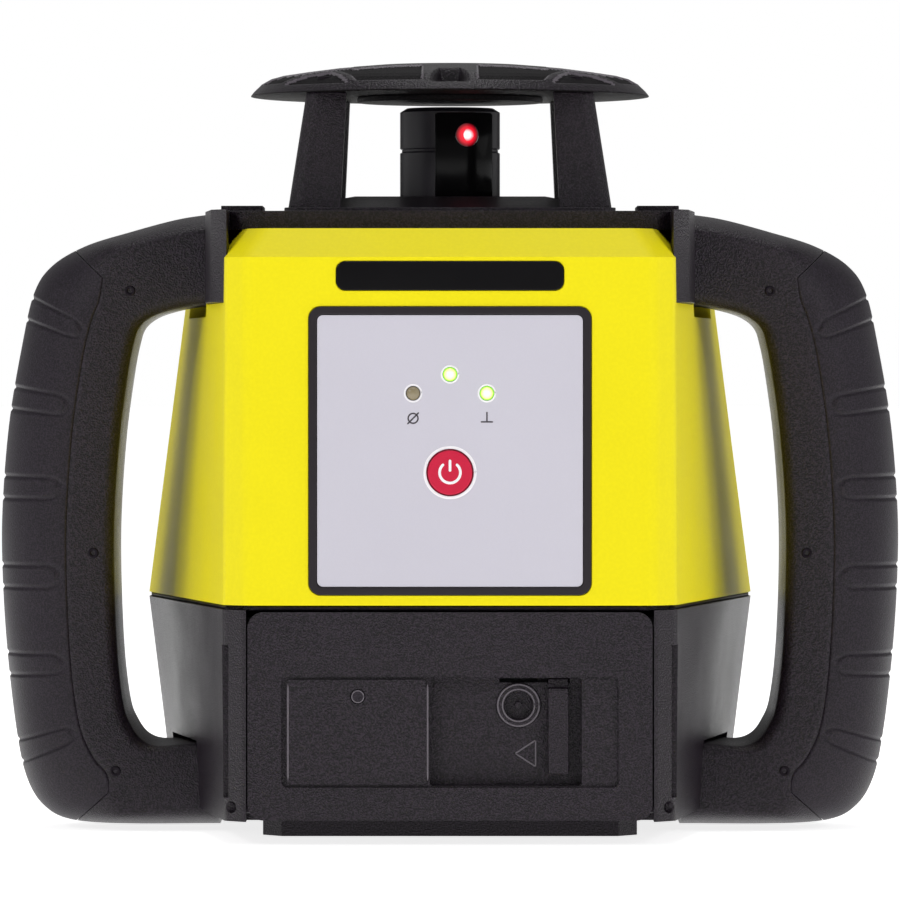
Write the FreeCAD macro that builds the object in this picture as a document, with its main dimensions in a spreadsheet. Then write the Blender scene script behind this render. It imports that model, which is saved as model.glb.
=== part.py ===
"""Rotating laser level: a self-levelling laser head in a two-part casing with two side handles.

Frame: millimetres, +Z up, the keypad faces -Y. The origin is on the laser's spin axis, at the
mouth of the tripod thread in the base.
"""
import FreeCAD, Part

import math
import os

import Sketcher

# name, value in millimetres (or degrees where it says so), what it is
SHEET_ROWS = [
    ("front_reach", 90.0, "spin axis to the front face of the casing"),
    ("back_reach", 96.0, "spin axis to the back face of the casing"),
    ("front_half", 52.0, "half width of the front face"),
    ("facet_half", 58.0, "half width behind the front corner facets"),
    ("facet_reach", 84.0, "spin axis to the back edge of the front corner facets"),
    ("wide_half", 83.0, "half width of the casing where it is widest"),
    ("wide_back", 44.0, "how far behind the axis the casing is widest"),
    ("rear_half", 70.0, "half width at the rear corner"),
    ("rear_back", 80.0, "how far behind the axis the rear corner lies"),
    ("tail_half", 44.0, "half width of the back face"),
    ("wall", 2.6, "casing wall"),
    ("base_top", 6.0, "underside of the lower casing"),
    ("parting", 60.0, "height of the joint between the two casings"),
    ("shoulder", 150.0, "top of the upright front face"),
    ("roof", 157.5, "top of the upper casing"),
    ("roof_wall", 3.0, "thickness of the casing roof"),
    ("top_draw", 12.0, "how much narrower each side is at the shoulder"),
    ("foot_draw", 7.0, "how much narrower each side is at the base"),
    ("shoulder_bevel", 9.0, "width of the bevel round the roof"),
    ("facet_round", 4.5, "rounding of the front corners"),
    ("rear_round", 34.0, "rounding of the rear corners"),
    ("seal_height", 1.2, "thickness of the gasket between the casings"),
    ("base_half", 48.8, "half width of the base plate"),
    ("base_front", 44.0, "axis to the front edge of the base plate"),
    ("thread_radius", 6.8, "wall radius of the 5/8-11 tripod thread"),
    ("thread_depth", 14.0, "length of the tripod thread"),
    ("insert_radius", 11.0, "outside radius of the tripod insert"),
    ("insert_flange", 17.0, "flange radius of the tripod insert"),
    ("cover_top", 163.4, "top of the black cover's lip"),
    ("cover_front", 57.0, "axis to the front of the cover's lip"),
    ("cover_half", 43.0, "half width of the cover's raised middle"),
    ("hub_top", 167.0, "top of the collar round the laser head"),
    ("hub_half", 25.0, "half width of the flat round the laser head"),
    ("hub_bore", 17.2, "radius of the opening round the laser head"),
    ("post_inner", 28.7, "axis to the inner face of a post at its foot"),
    ("post_outer", 42.6, "axis to the outer face of a post at its foot"),
    ("post_lean_in", 1.6, "how far the inner face moves in at the top"),
    ("post_lean_out", 5.0, "how far the outer face moves in at the top"),
    ("post_round", 3.5, "rounding of a post's outer corner"),
    ("crown_rim", 194.0, "underside of the crown"),
    ("crown_rise", 8.8, "height of the crown over its rim"),
    ("crown_radius", 53.0, "radius of the crown"),
    ("crown_floor", 2.2, "thickness of the crown under the sight grooves"),
    ("groove_inner", 2.0, "half width of a sight groove at its inner end"),
    ("groove_outer", 5.8, "half width of a sight groove at the rim"),
    ("groove_start", 20.0, "axis to the inner end of a sight groove"),
    ("liner_radius", 24.7, "radius of the liner under the crown"),
    ("liner_drop", 1.5, "thickness of the liner under the crown"),
    ("head_radius", 13.3, "radius of the spinning head"),
    ("head_top", 191.0, "top of the spinning head"),
    ("head_foot", 162.0, "underside of the spinning head"),
    ("head_wall", 1.8, "wall of the spinning head"),
    ("beam_height", 183.6, "height of the laser beam"),
    ("beam_turn", 20.0, "degrees the head has turned from the front"),
    ("window_half", 7.6, "half width of the window in the head"),
    ("lens_radius", 3.2, "radius of the beam's lens"),
    ("pivot_height", 140.0, "height of the two tilt axes"),
    ("arm_reach", 50.0, "axis to the levelling screws"),
    ("barrel_radius", 14.0, "radius of the laser barrel"),
    ("barrel_wall", 3.0, "wall of the laser barrel"),
    ("shaft_radius", 8.0, "radius of the hollow spindle"),
    ("shaft_bore", 5.0, "bore of the hollow spindle"),
    ("running_fit", 0.05, "radial clearance of a shaft in its bore"),
    ("ring_inner", 19.0, "inner radius of the gimbal ring"),
    ("ring_outer", 25.0, "outer radius of the gimbal ring"),
    ("ring_height", 10.0, "height of the gimbal ring"),
    ("pin_radius", 2.0, "radius of the gimbal pins"),
    ("chassis_gap", 7.5, "axis height to the underside of the chassis plate"),
    ("chassis_half", 44.0, "half width of the chassis plate"),
    ("plate_thick", 3.0, "thickness of the two chassis plates"),
    ("stand_place", 38.0, "axis to a standoff, along X and along Y"),
    ("motor_floor", 92.0, "underside of the motor plate"),
    ("plunger_radius", 4.0, "radius of a levelling plunger"),
    ("screw_radius", 2.0, "radius of a levelling screw"),
    ("touch_gap", 0.5, "gap between a plunger and its arm"),
    ("handle_half", 119.5, "axis to the outside of a handle"),
    ("handle_front", 28.0, "axis to the front of a handle"),
    ("handle_depth", 50.0, "handle, front to back"),
    ("handle_root", 61.0, "axis to the joint between handle and casing"),
    ("handle_top", 163.4, "top of a handle at its root"),
    ("handle_thick", 31.0, "thickness of a handle at its middle"),
    ("grip_thick", 2.5, "thickness of the rubber grip"),
    ("handle_round", 14.0, "rounding of a handle's outer edges"),
    ("socket_gap", 0.4, "gap round a handle in its socket"),
    ("keypad_width", 72.0, "width of the keypad frame"),
    ("keypad_height", 73.5, "height of the keypad frame"),
    ("keypad_middle", 100.6, "height of the keypad's centre"),
    ("keypad_border", 2.0, "width of the keypad frame's border"),
    ("keypad_sink", 1.4, "depth of the keypad's recess"),
    ("keypad_proud", 0.5, "how far the keypad frame stands out"),
    ("fit_gap", 0.15, "gap round a part set in a recess"),
    ("button_radius", 5.7, "radius of the power button"),
    ("button_height", 95.1, "height of the power button"),
    ("button_travel", 0.8, "travel of the power button"),
    ("lamp_radius", 1.75, "radius of a keypad lamp"),
    ("lamp_pitch", 9.4, "distance between keypad lamps"),
    ("lamp_height", 115.3, "height of the outer keypad lamps"),
    ("nameplate_width", 58.0, "width of the nameplate"),
    ("nameplate_height", 7.4, "height of the nameplate"),
    ("nameplate_middle", 145.2, "height of the nameplate's centre"),
    ("door_half", 51.6, "half width of the battery door"),
    ("door_thick", 9.0, "thickness of the battery door"),
    ("door_gap", 0.4, "gap round the battery door"),
    ("hinge_radius", 1.5, "radius of the door's hinge pin"),
    ("hinge_height", 9.6, "height of the door's hinge pin"),
    ("hinge_setback", 4.2, "front face to the door's hinge pin"),
    ("recess_half", 43.0, "half width of the recess in the door"),
    ("recess_low", 14.8, "bottom of the recess in the door"),
    ("recess_high", 43.1, "top of the recess in the door"),
    ("well_left", -5.2, "left end of the latch well"),
    ("well_right", 33.6, "right end of the latch well"),
    ("recess_sink", 1.2, "depth of the recess in the door"),
    ("well_sink", 4.2, "depth of the latch well below the recess"),
    ("latch_place", 27.6, "axis to the middle of the latch grip"),
    ("latch_width", 5.2, "width of the latch grip"),
    ("latch_travel", 12.0, "travel of the latch"),
    ("socket_place", 17.5, "axis to the charging socket"),
    ("socket_height", 35.6, "height of the charging socket"),
    ("socket_radius", 5.7, "outer radius of the charging socket"),
    ("socket_bore", 3.7, "bore of the charging socket"),
    ("cell_radius", 16.6, "radius of a battery cell"),
    ("cell_length", 61.5, "length of a battery cell"),
    ("cell_floor", 19.0, "underside of the battery cells"),
]

ARM_SPREAD = 6.0        # how far an arm passes its levelling screw
CAN_RADIUS = 9.0        # levelling motor
CAN_HEIGHT = 20.0
FRONT = FreeCAD.Vector(0, -1, 0)
UP = FreeCAD.Vector(0, 0, 1)
RIGHT = FreeCAD.Vector(1, 0, 0)
AXES = {"x": RIGHT, "y": FreeCAD.Vector(0, 1, 0), "z": UP, "front": FRONT,
        "down": FreeCAD.Vector(0, 0, -1)}

doc = FreeCAD.newDocument("laser_level")
NODES = []


class Size:
    """A length kept twice: its value now, and the sheet expression that gives it."""

    def __init__(self, value, text):
        self.value = value
        self.text = text

    def __add__(self, other):
        other = as_size(other)
        return Size(self.value + other.value, f"({self.text} + {other.text})")

    def __sub__(self, other):
        other = as_size(other)
        return Size(self.value - other.value, f"({self.text} - {other.text})")

    def __mul__(self, other):
        other = as_size(other)
        return Size(self.value * other.value, f"({self.text} * {other.text})")

    def __neg__(self):
        return Size(-self.value, f"(0 - {self.text})")

    def __radd__(self, other):
        return as_size(other) + self

    def __rsub__(self, other):
        return as_size(other) - self

    def __rmul__(self, other):
        return as_size(other) * self

    def __truediv__(self, other):
        return self * (1.0 / other)


def as_size(value):
    """A Size for a plain number, or the Size itself."""
    if isinstance(value, Size):
        return value
    return Size(float(value), repr(float(value)))


class Sizes:
    """The driving sizes, each an attribute bound to its cell."""


def make_sheet():
    """Writes the sheet and returns the sizes that read from it."""
    sheet = doc.addObject("Spreadsheet::Sheet", "sizes")
    sizes = Sizes()
    for row, (name, value, note) in enumerate(SHEET_ROWS, start=1):
        sheet.set(f"A{row}", str(value))
        sheet.setAlias(f"A{row}", name)
        sheet.set(f"B{row}", note)
        setattr(sizes, name, Size(value, f"sizes.{name}"))
    return sizes


S = make_sheet()
doc.recompute()


def bind(thing, path, size):
    """Binds one property of an object to a size."""
    thing.setExpression(path, as_size(size).text)


def seat(piece, x=0, y=0, z=0, axis="z"):
    """Puts an object's origin at a point, with its own Z along an axis."""
    piece.Placement = FreeCAD.Placement(FreeCAD.Vector(), FreeCAD.Rotation(UP, AXES[axis]))
    for letter, size in (("x", x), ("y", y), ("z", z)):
        bind(piece, f"Placement.Base.{letter}", size)


def box(name, x, y, z):
    """A block between the two ends given along each axis."""
    piece = doc.addObject("Part::Box", name)
    for letter, side, (low, high) in (("x", "Length", x), ("y", "Width", y), ("z", "Height", z)):
        bind(piece, side, as_size(high) - low)
        bind(piece, f"Placement.Base.{letter}", low)
    return piece


def rod(name, radius, height, x=0, y=0, z=0, axis="z"):
    """A cylinder that starts at a point and runs along an axis."""
    piece = doc.addObject("Part::Cylinder", name)
    bind(piece, "Radius", radius)
    bind(piece, "Height", height)
    seat(piece, x, y, z, axis)
    return piece


def cone(name, low_radius, high_radius, height, x=0, y=0, z=0, axis="z"):
    """A cone stump that starts at a point and runs along an axis."""
    piece = doc.addObject("Part::Cone", name)
    bind(piece, "Radius1", low_radius)
    bind(piece, "Radius2", high_radius)
    bind(piece, "Height", height)
    seat(piece, x, y, z, axis)
    return piece


def join(name, *pieces):
    """One solid from pieces that touch."""
    whole = doc.addObject("Part::MultiFuse", name)
    whole.Shapes = list(pieces)
    whole.Refine = True
    return whole


def group(name, *pieces):
    """Several separate solids in one object."""
    whole = doc.addObject("Part::Compound", name)
    whole.Links = list(pieces)
    return whole


def cut(name, base, *tools):
    """A piece with tools taken out of it."""
    piece = doc.addObject("Part::Cut", name)
    piece.Base = base
    piece.Tool = tools[0] if len(tools) == 1 else join(name + "_tools", *tools)
    return piece


def common(name, first, second):
    """What two pieces share."""
    piece = doc.addObject("Part::Common", name)
    piece.Base = first
    piece.Tool = second
    return piece


def mirror(name, source, normal=RIGHT):
    """A piece mirrored in a plane through the origin."""
    piece = doc.addObject("Part::Mirroring", name)
    piece.Source = source
    piece.Normal = normal
    return piece


def tube(name, outer, inner, height, x=0, y=0, z=0, axis="z"):
    """A straight tube that starts at a point and runs along an axis."""
    outside = rod(name + "_outside", outer, height, x, y, z, axis)
    inside = rod(name + "_inside", inner, height, x, y, z, axis)
    return cut(name, outside, inside)


def new_body(name):
    """An empty design body."""
    return doc.addObject("PartDesign::Body", name)


def blank_sketch(body, name, plane, offset):
    """An empty sketch on a plane of the body's own origin, moved off it along its normal."""
    sketch = body.newObject("Sketcher::SketchObject", name)
    role = plane + "_Plane"
    home = [item for item in body.Origin.OriginFeatures if item.Role == role][0]
    sketch.AttachmentSupport = [(home, "")]
    sketch.MapMode = "FlatFace"
    bind(sketch, "AttachmentOffset.Base.z", offset)
    return sketch


def outline(body, name, plane, offset, points):
    """A closed sketch of lines and arcs on a plane of the body's own origin.

    Each point is (across, up), or (across, up, radius) where an arc of that radius runs on to the
    next point; a negative radius bulges to the left of the way it runs.
    """
    sketch = blank_sketch(body, name, plane, offset)
    places = [(as_size(point[0]), as_size(point[1])) for point in points]
    corners = [FreeCAD.Vector(across.value, up.value, 0) for across, up in places]
    ends = []
    for index, corner in enumerate(corners):
        after = corners[(index + 1) % len(corners)]
        if len(points[index]) == 2:
            sketch.addGeometry(Part.LineSegment(corner, after), False)
            ends.append((1, 2))
            continue
        radius = as_size(points[index][2]).value
        chord = after - corner
        left = FreeCAD.Vector(-chord.y, chord.x, 0).normalize()
        rise = abs(radius) - math.sqrt(radius ** 2 - chord.Length ** 2 / 4)
        top = (corner + after) / 2 - left * math.copysign(rise, radius)
        curve = Part.Arc(corner, top, after)
        arc = sketch.addGeometry(curve, False)
        start_first = sketch.getPoint(arc, 1).sub(corner).Length < 0.001
        ends.append((1, 2) if start_first else (2, 1))
    for index in range(len(points)):
        after = (index + 1) % len(points)
        sketch.addConstraint(
            Sketcher.Constraint("Coincident", index, ends[index][1], after, ends[after][0]))
    for index, (across, up) in enumerate(places):
        for kind, size in (("DistanceX", across), ("DistanceY", up)):
            number = sketch.addConstraint(
                Sketcher.Constraint(kind, -1, 1, index, ends[index][0], size.value))
            sketch.setExpression(f"Constraints[{number}]", size.text)
        if len(points[index]) == 3:
            radius = as_size(points[index][2])
            number = sketch.addConstraint(
                Sketcher.Constraint("Radius", index, abs(radius.value)))
            text = radius.text if radius.value > 0 else f"(0 - {radius.text})"
            sketch.setExpression(f"Constraints[{number}]", text)
    return sketch


def rounded_outline(body, name, plane, offset, corners):
    """A closed sketch of straight lines whose corners are tangent arcs.

    Each corner is (across, up, radius), listed anticlockwise; a radius of None leaves it sharp.
    A construction point marks each rounded corner, and both lines beside it pass through it.
    """
    sketch = blank_sketch(body, name, plane, offset)
    places = [FreeCAD.Vector(as_size(x).value, as_size(y).value, 0) for x, y, radius in corners]
    count = len(corners)
    starts, ends = list(places), list(places)
    for index, (x, y, radius) in enumerate(corners):
        if radius is None:
            continue
        here = places[index]
        before = (places[index - 1] - here).normalize()
        after = (places[(index + 1) % count] - here).normalize()
        reach = as_size(radius).value / math.tan(before.getAngle(after) / 2)
        ends[index] = here + before * reach
        starts[index] = here + after * reach
    lines = [sketch.addGeometry(Part.LineSegment(starts[index], ends[(index + 1) % count]), False)
             for index in range(count)]
    for index, (x, y, radius) in enumerate(corners):
        line_in, line_out = lines[index - 1], lines[index]
        here = places[index]
        if radius is None:
            sketch.addConstraint(Sketcher.Constraint("Coincident", line_in, 2, line_out, 1))
            mark = line_out
        else:
            inward = ((starts[index] + ends[index]) / 2 - here).normalize()
            reach = as_size(radius).value
            centre = here + inward * math.hypot(reach, (starts[index] - here).Length)
            first, last = ends[index] - centre, starts[index] - centre
            arc = sketch.addGeometry(Part.ArcOfCircle(
                Part.Circle(centre, UP, reach), math.atan2(first.y, first.x),
                math.atan2(last.y, last.x)), False)
            mark = sketch.addGeometry(Part.Point(here), True)
            sketch.addConstraint(Sketcher.Constraint("Tangent", line_in, 2, arc, 1))
            sketch.addConstraint(Sketcher.Constraint("Tangent", arc, 2, line_out, 1))
            for line in (line_in, line_out):
                sketch.addConstraint(Sketcher.Constraint("PointOnObject", mark, 1, line))
            number = sketch.addConstraint(Sketcher.Constraint("Radius", arc, reach))
            sketch.setExpression(f"Constraints[{number}]", as_size(radius).text)
        for kind, size in (("DistanceX", as_size(x)), ("DistanceY", as_size(y))):
            number = sketch.addConstraint(Sketcher.Constraint(kind, -1, 1, mark, 1, size.value))
            sketch.setExpression(f"Constraints[{number}]", size.text)
    return sketch


def pad(body, sketch, length):
    """Pads a sketch along its own normal."""
    feature = body.newObject("PartDesign::Pad", sketch.Name + "_pad")
    feature.Profile = sketch
    bind(feature, "Length", length)
    body.Tip = feature
    return feature


def loft(body, sketches):
    """A ruled loft through sketches."""
    feature = body.newObject("PartDesign::AdditiveLoft", body.Name + "_loft")
    feature.Profile = sketches[0]
    feature.Sections = sketches[1:]
    feature.Ruled = True
    body.Tip = feature
    return feature


def round_edges(body, name, radius, wanted):
    """Rounds the edges of the body's tip that a test picks."""
    doc.recompute()
    base = body.Tip
    edges = [f"Edge{number}" for number, edge in enumerate(base.Shape.Edges, start=1)
             if wanted(edge)]
    if not edges:
        raise ValueError(f"{name}: no edge to round")
    feature = body.newObject("PartDesign::Fillet", name)
    feature.Base = (base, edges)
    bind(feature, "Radius", radius)
    body.Tip = feature
    return feature


def runs_along(axis):
    """A test for straight edges along an axis."""
    def wanted(edge):
        first, last = edge.Vertexes[0].Point, edge.Vertexes[-1].Point
        way = last - first
        return way.Length > 0.01 and abs(way.normalize().dot(AXES[axis])) > 0.999
    return wanted


def panel(name, x, z, face, thickness, corner):
    """A plate with rounded corners that faces -Y: its face lies at y = -face."""
    body = new_body(name)
    (left, right), (low, high) = x, z
    corners = [(left, low), (right, low), (right, high), (left, high)]
    back = as_size(face) - thickness
    pad(body, outline(body, name + "_outline", "XZ", back, corners), thickness)
    round_edges(body, name + "_round", corner, runs_along("front"))
    return body


def slab(name, points, low, thickness, corner=None):
    """A flat plate from a plan outline, with its upright corners rounded."""
    body = new_body(name)
    pad(body, outline(body, name + "_outline", "XY", low, points), thickness)
    if corner is not None:
        round_edges(body, name + "_round", corner, runs_along("z"))
    return body


def both_sides(half):
    """A whole outline from the points of its +X half, from front to back."""
    return list(half) + [(-as_size(x), y) for x, y in reversed(half)]


def node(name, piece):
    """Names a finished piece, so that it is written to a file of its own."""
    piece.Label = name
    NODES.append(piece)
    return piece


def four_ways(name, piece, quarter=90.0):
    """A piece and its three copies turned round the spin axis."""
    copies = []
    for turn in range(4):
        copy = doc.addObject("Part::Compound", f"{name}_turn{turn}")
        copy.Links = [piece]
        copy.Placement = FreeCAD.Placement(FreeCAD.Vector(), FreeCAD.Rotation(UP, quarter * turn))
        copies.append(copy)
    return group(name, *copies)


# ---------------------------------------------------------------- casing

def casing_plan(draw, bevel, inset):
    """The casing's plan: draw narrows the sides, bevel and inset pull all of it in."""
    front = S.front_reach - bevel - inset
    near, far = S.facet_round - inset * 0.5, S.rear_round - inset
    half = [
        (S.front_half - bevel * 0.5 - inset * 0.5, -front, near),
        (S.facet_half - draw * 0.05 - bevel * 0.6 - inset,
         -(S.facet_reach - bevel - inset * 0.5), near),
        (S.wide_half - draw - bevel * 0.6 - inset, S.wide_back, far),
        (S.rear_half - draw * 0.8 - bevel * 0.6 - inset * 0.9,
         S.rear_back - draw * 0.4 - bevel * 0.6 - inset * 0.7, far),
        (S.tail_half - draw * 0.4 - bevel * 0.6 - inset * 0.5,
         S.back_reach - draw * 0.5 - bevel - inset, far),
    ]
    return half + [(-x, y, radius) for x, y, radius in reversed(half)]


def casing_block(name, levels):
    """A block lofted through levels of (height, draw, bevel, inset)."""
    body = new_body(name)
    sketches = []
    for number, (height, draw, bevel, inset) in enumerate(levels):
        corners = casing_plan(as_size(draw), as_size(bevel), as_size(inset))
        sketches.append(rounded_outline(body, f"{name}_level{number}", "XY", height, corners))
    loft(body, sketches)
    return body


def handle_sockets(name, low, high):
    """Two boxes that the ends of the handles fit in."""
    front = -(S.handle_front + S.socket_gap)
    back = S.handle_depth - S.handle_front + S.socket_gap
    far = S.wide_half + 5
    right = box(name + "_right", (S.handle_root, far), (front, back), (low, high))
    left = box(name + "_left", (-far, -S.handle_root), (front, back), (low, high))
    return right, left


def socket_walls(name, low, high):
    """Two blocks that close the casing round the handle ends."""
    front = -(S.handle_front + S.socket_gap + S.wall)
    back = S.handle_depth - S.handle_front + S.socket_gap + S.wall
    near = S.handle_root - S.wall
    far = S.wide_half + 5
    right = box(name + "_right", (near, far), (front, back), (low, high))
    left = box(name + "_left", (-far, -near), (front, back), (low, high))
    return right, left


def flank_blocks(name, grow, low, high):
    """Two blocks behind the front corners, where the cover holds the handles' upper ends."""
    near, far = S.facet_half - 0.8 - grow, S.handle_root + 2.6 + grow
    front, back = -S.facet_reach + 3 - grow, -S.handle_front - 0.4
    points = [(near, front - grow * 2), (near + 4.2 + grow * 2, front + 7), (far, front + 31),
              (far, back), (near, back)]
    right = slab(name + "_right", points, low, high - low)
    return right, mirror(name + "_left", right)


UPPER_ARM_LOW = S.handle_top - 25.0      # underside of a handle's upper end
LOWER_ARM_HIGH = as_size(23.4)           # top of a handle's lower end
ARM_DROP = 2.8                           # how far a handle's upper arm falls towards its grip
FLANK_LOW = UPPER_ARM_LOW + 0.2          # underside of the cover's flanks


def build_upper_housing():
    """The yellow shell: drafted sides, bevelled roof, recesses for keypad and nameplate."""
    skirt = S.parting + S.seal_height
    outer = casing_block("upper_outer", [
        (skirt, 0, 0, 0),
        (S.shoulder, S.top_draw, 0, 0),
        (S.roof, S.top_draw, S.shoulder_bevel, 0)])
    inner = casing_block("upper_inner", [
        (skirt - 1, 0, 0, S.wall),
        (S.shoulder, S.top_draw, 0, S.wall),
        (S.roof - S.roof_wall, S.top_draw, S.shoulder_bevel, S.wall)])
    walls = socket_walls("upper_wall", UPPER_ARM_LOW - ARM_DROP - S.socket_gap - S.wall,
                         S.roof + 1)
    cavity = cut("upper_cavity", inner, *walls)
    sockets = handle_sockets("upper_socket", UPPER_ARM_LOW - ARM_DROP - S.socket_gap, S.roof + 1)
    flanks = flank_blocks("upper_notch", S.fit_gap, FLANK_LOW - S.fit_gap, S.roof + 1)
    hatch_half = S.chassis_half + 2
    hatch = box("upper_hatch", (-hatch_half, hatch_half), (-hatch_half, hatch_half),
                (S.roof - S.roof_wall - 1, S.roof + 1))
    half, rise = S.keypad_width / 2 + S.fit_gap, S.keypad_height / 2 + S.fit_gap
    recess = panel("keypad_recess", (-half, half), (S.keypad_middle - rise, S.keypad_middle + rise),
                   S.front_reach + 1, S.keypad_sink + 1, 3.2)
    eye_half, eye_rise = S.keypad_width / 2 - 6, S.keypad_height / 2 - 6
    eye = box("keypad_eye", (-eye_half, eye_half), (-S.front_reach - 1, -S.front_reach + S.wall + 2),
              (S.keypad_middle - eye_rise, S.keypad_middle + eye_rise))
    half, rise = S.nameplate_width / 2 + S.fit_gap, S.nameplate_height / 2 + S.fit_gap
    slot = panel("nameplate_recess", (-half, half),
                 (S.nameplate_middle - rise, S.nameplate_middle + rise), S.front_reach + 1,
                 S.keypad_sink + 0.6, 2.4)
    pilots = [rod(f"cover_pilot_{number}", 1.55, 8, x, y, S.roof - 6)
              for number, (x, y) in enumerate(COVER_SCREWS)]
    node("upper_housing", cut("upper_housing_cut", outer, cavity, *sockets, *flanks, hatch, recess,
                              eye, slot, *pilots))


def build_lower_housing():
    """The black tub: battery bay, handle sockets and the opening for the battery door."""
    outer = casing_block("lower_outer", [
        (S.base_top, S.foot_draw, 0, 0),
        (S.parting, 0, 0, 0)])
    inner = casing_block("lower_inner", [
        (S.base_top + S.wall + 1, S.foot_draw, 0, S.wall),
        (S.parting + 1, 0, 0, S.wall)])
    walls = socket_walls("lower_wall", S.base_top - 1, LOWER_ARM_HIGH + S.socket_gap + S.wall)
    cavity = cut("lower_cavity", inner, *walls)
    sockets = handle_sockets("lower_socket", as_size(0), LOWER_ARM_HIGH + S.socket_gap)
    reach = S.front_reach
    doorway = box("doorway", (-S.door_half - S.door_gap, S.door_half + S.door_gap),
                  (-reach - 1, -reach + S.door_thick + S.door_gap),
                  (S.base_top - 1, S.parting + 1))
    mouth_half = S.door_half - 6
    mouth = box("battery_mouth", (-mouth_half, mouth_half), (-reach - 1, -reach + S.door_thick + 8),
                (S.base_top + 10, S.parting - 5))
    bulkhead_half = S.door_half + 1
    bulkhead = box("bulkhead", (-bulkhead_half, bulkhead_half),
                   (-reach + S.door_thick + S.door_gap, -reach + S.door_thick + S.door_gap + S.wall),
                   (S.base_top + 1, S.parting - 2))
    hole = rod("insert_hole", S.insert_radius + S.fit_gap, S.thread_depth + 10, z=0)
    slots = []
    for side, sign in (("right", 1), ("left", -1)):
        middle = S.facet_half * sign
        slots.append(box(f"corner_slot_{side}", (middle - 1.4, middle + 1.4),
                         (-S.facet_reach - 4, -S.facet_reach + 2), (as_size(12), as_size(51))))
    pin_hole = rod("hinge_hole", S.hinge_radius, S.facet_half * 2, -S.facet_half,
                   -reach + S.hinge_setback, S.hinge_height, "x")
    shell = cut("lower_shell", outer, cavity)
    shell = join("lower_with_bulkhead", shell, bulkhead)
    pilots = [rod(f"base_pilot_{number}", 1.95, 7, x, y, S.base_top - 0.5)
              for number, (x, y) in enumerate(BASE_SCREWS)]
    node("lower_housing", cut("lower_housing_cut", shell, *sockets, doorway, mouth, hole, *slots,
                              pin_hole, *pilots))
    seal_outer = casing_block("seal_outer", [(S.parting, 0, 0, 0.6),
                                             (S.parting + S.seal_height, 0, 0, 0.6)])
    seal_inner = casing_block("seal_inner", [(S.parting - 1, 0, 0, S.wall),
                                             (S.parting + S.seal_height + 1, 0, 0, S.wall)])
    seal = cut("housing_seal_ring", seal_outer, seal_inner)
    node("housing_seal", seal)


def build_base():
    """The base plate with its screws, and the brass insert that takes the tripod screw."""
    half, front = S.base_half, S.base_front
    points = both_sides([(half - 5, -front - 6), (half, -front), (half, front + 8),
                         (half - 9, front + 22)])
    plate = slab("base_slab", points, as_size(0), S.base_top, None)
    flange_seat = rod("flange_seat", S.insert_flange + S.fit_gap, 3, z=-1)
    bore = rod("base_bore", S.insert_radius + S.fit_gap, S.base_top + 2, z=-1)
    holes = [rod(f"base_hole_{number}", 2.0, S.base_top + 2, x, y, -1)
             for number, (x, y) in enumerate(BASE_SCREWS)]
    wells = [rod(f"base_well_{number}", 4.0, 3.5, x, y, -1)
             for number, (x, y) in enumerate(BASE_SCREWS)]
    node("base_plate", cut("base_plate_cut", plate, flange_seat, bore, *holes, *wells))
    body = join("insert_body", rod("insert_flange_disc", S.insert_flange, 2.0),
                rod("insert_barrel", S.insert_radius, S.thread_depth + 3))
    thread = rod("insert_thread", S.thread_radius, S.thread_depth, z=0)
    node("tripod_insert", cut("tripod_insert_cut", body, thread))
    screws = [screw(f"base_screw_{number}", 1.9, 3.8, 10.0, x, y, 2.5, "z")
              for number, (x, y) in enumerate(BASE_SCREWS)]
    node("base_screws", group("base_screw_group", *screws))


BASE_SCREWS = [(sign * (S.base_half - 8), back) for back in (-S.base_front + 6, S.base_front)
               for sign in (1, -1)]


def screw(name, shank, head, length, x, y, z, axis):
    """A pan-head screw: its head lies just before the point, its shank runs on past it."""
    thick = 1.8
    back = AXES[axis] * -thick
    cap = rod(name + "_head", head, thick, as_size(x) + back.x, as_size(y) + back.y,
              as_size(z) + back.z, axis)
    stem = rod(name + "_shank", shank, length, x, y, z, axis)
    return join(name, cap, stem)


# ---------------------------------------------------------------- cover, posts and crown

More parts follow.
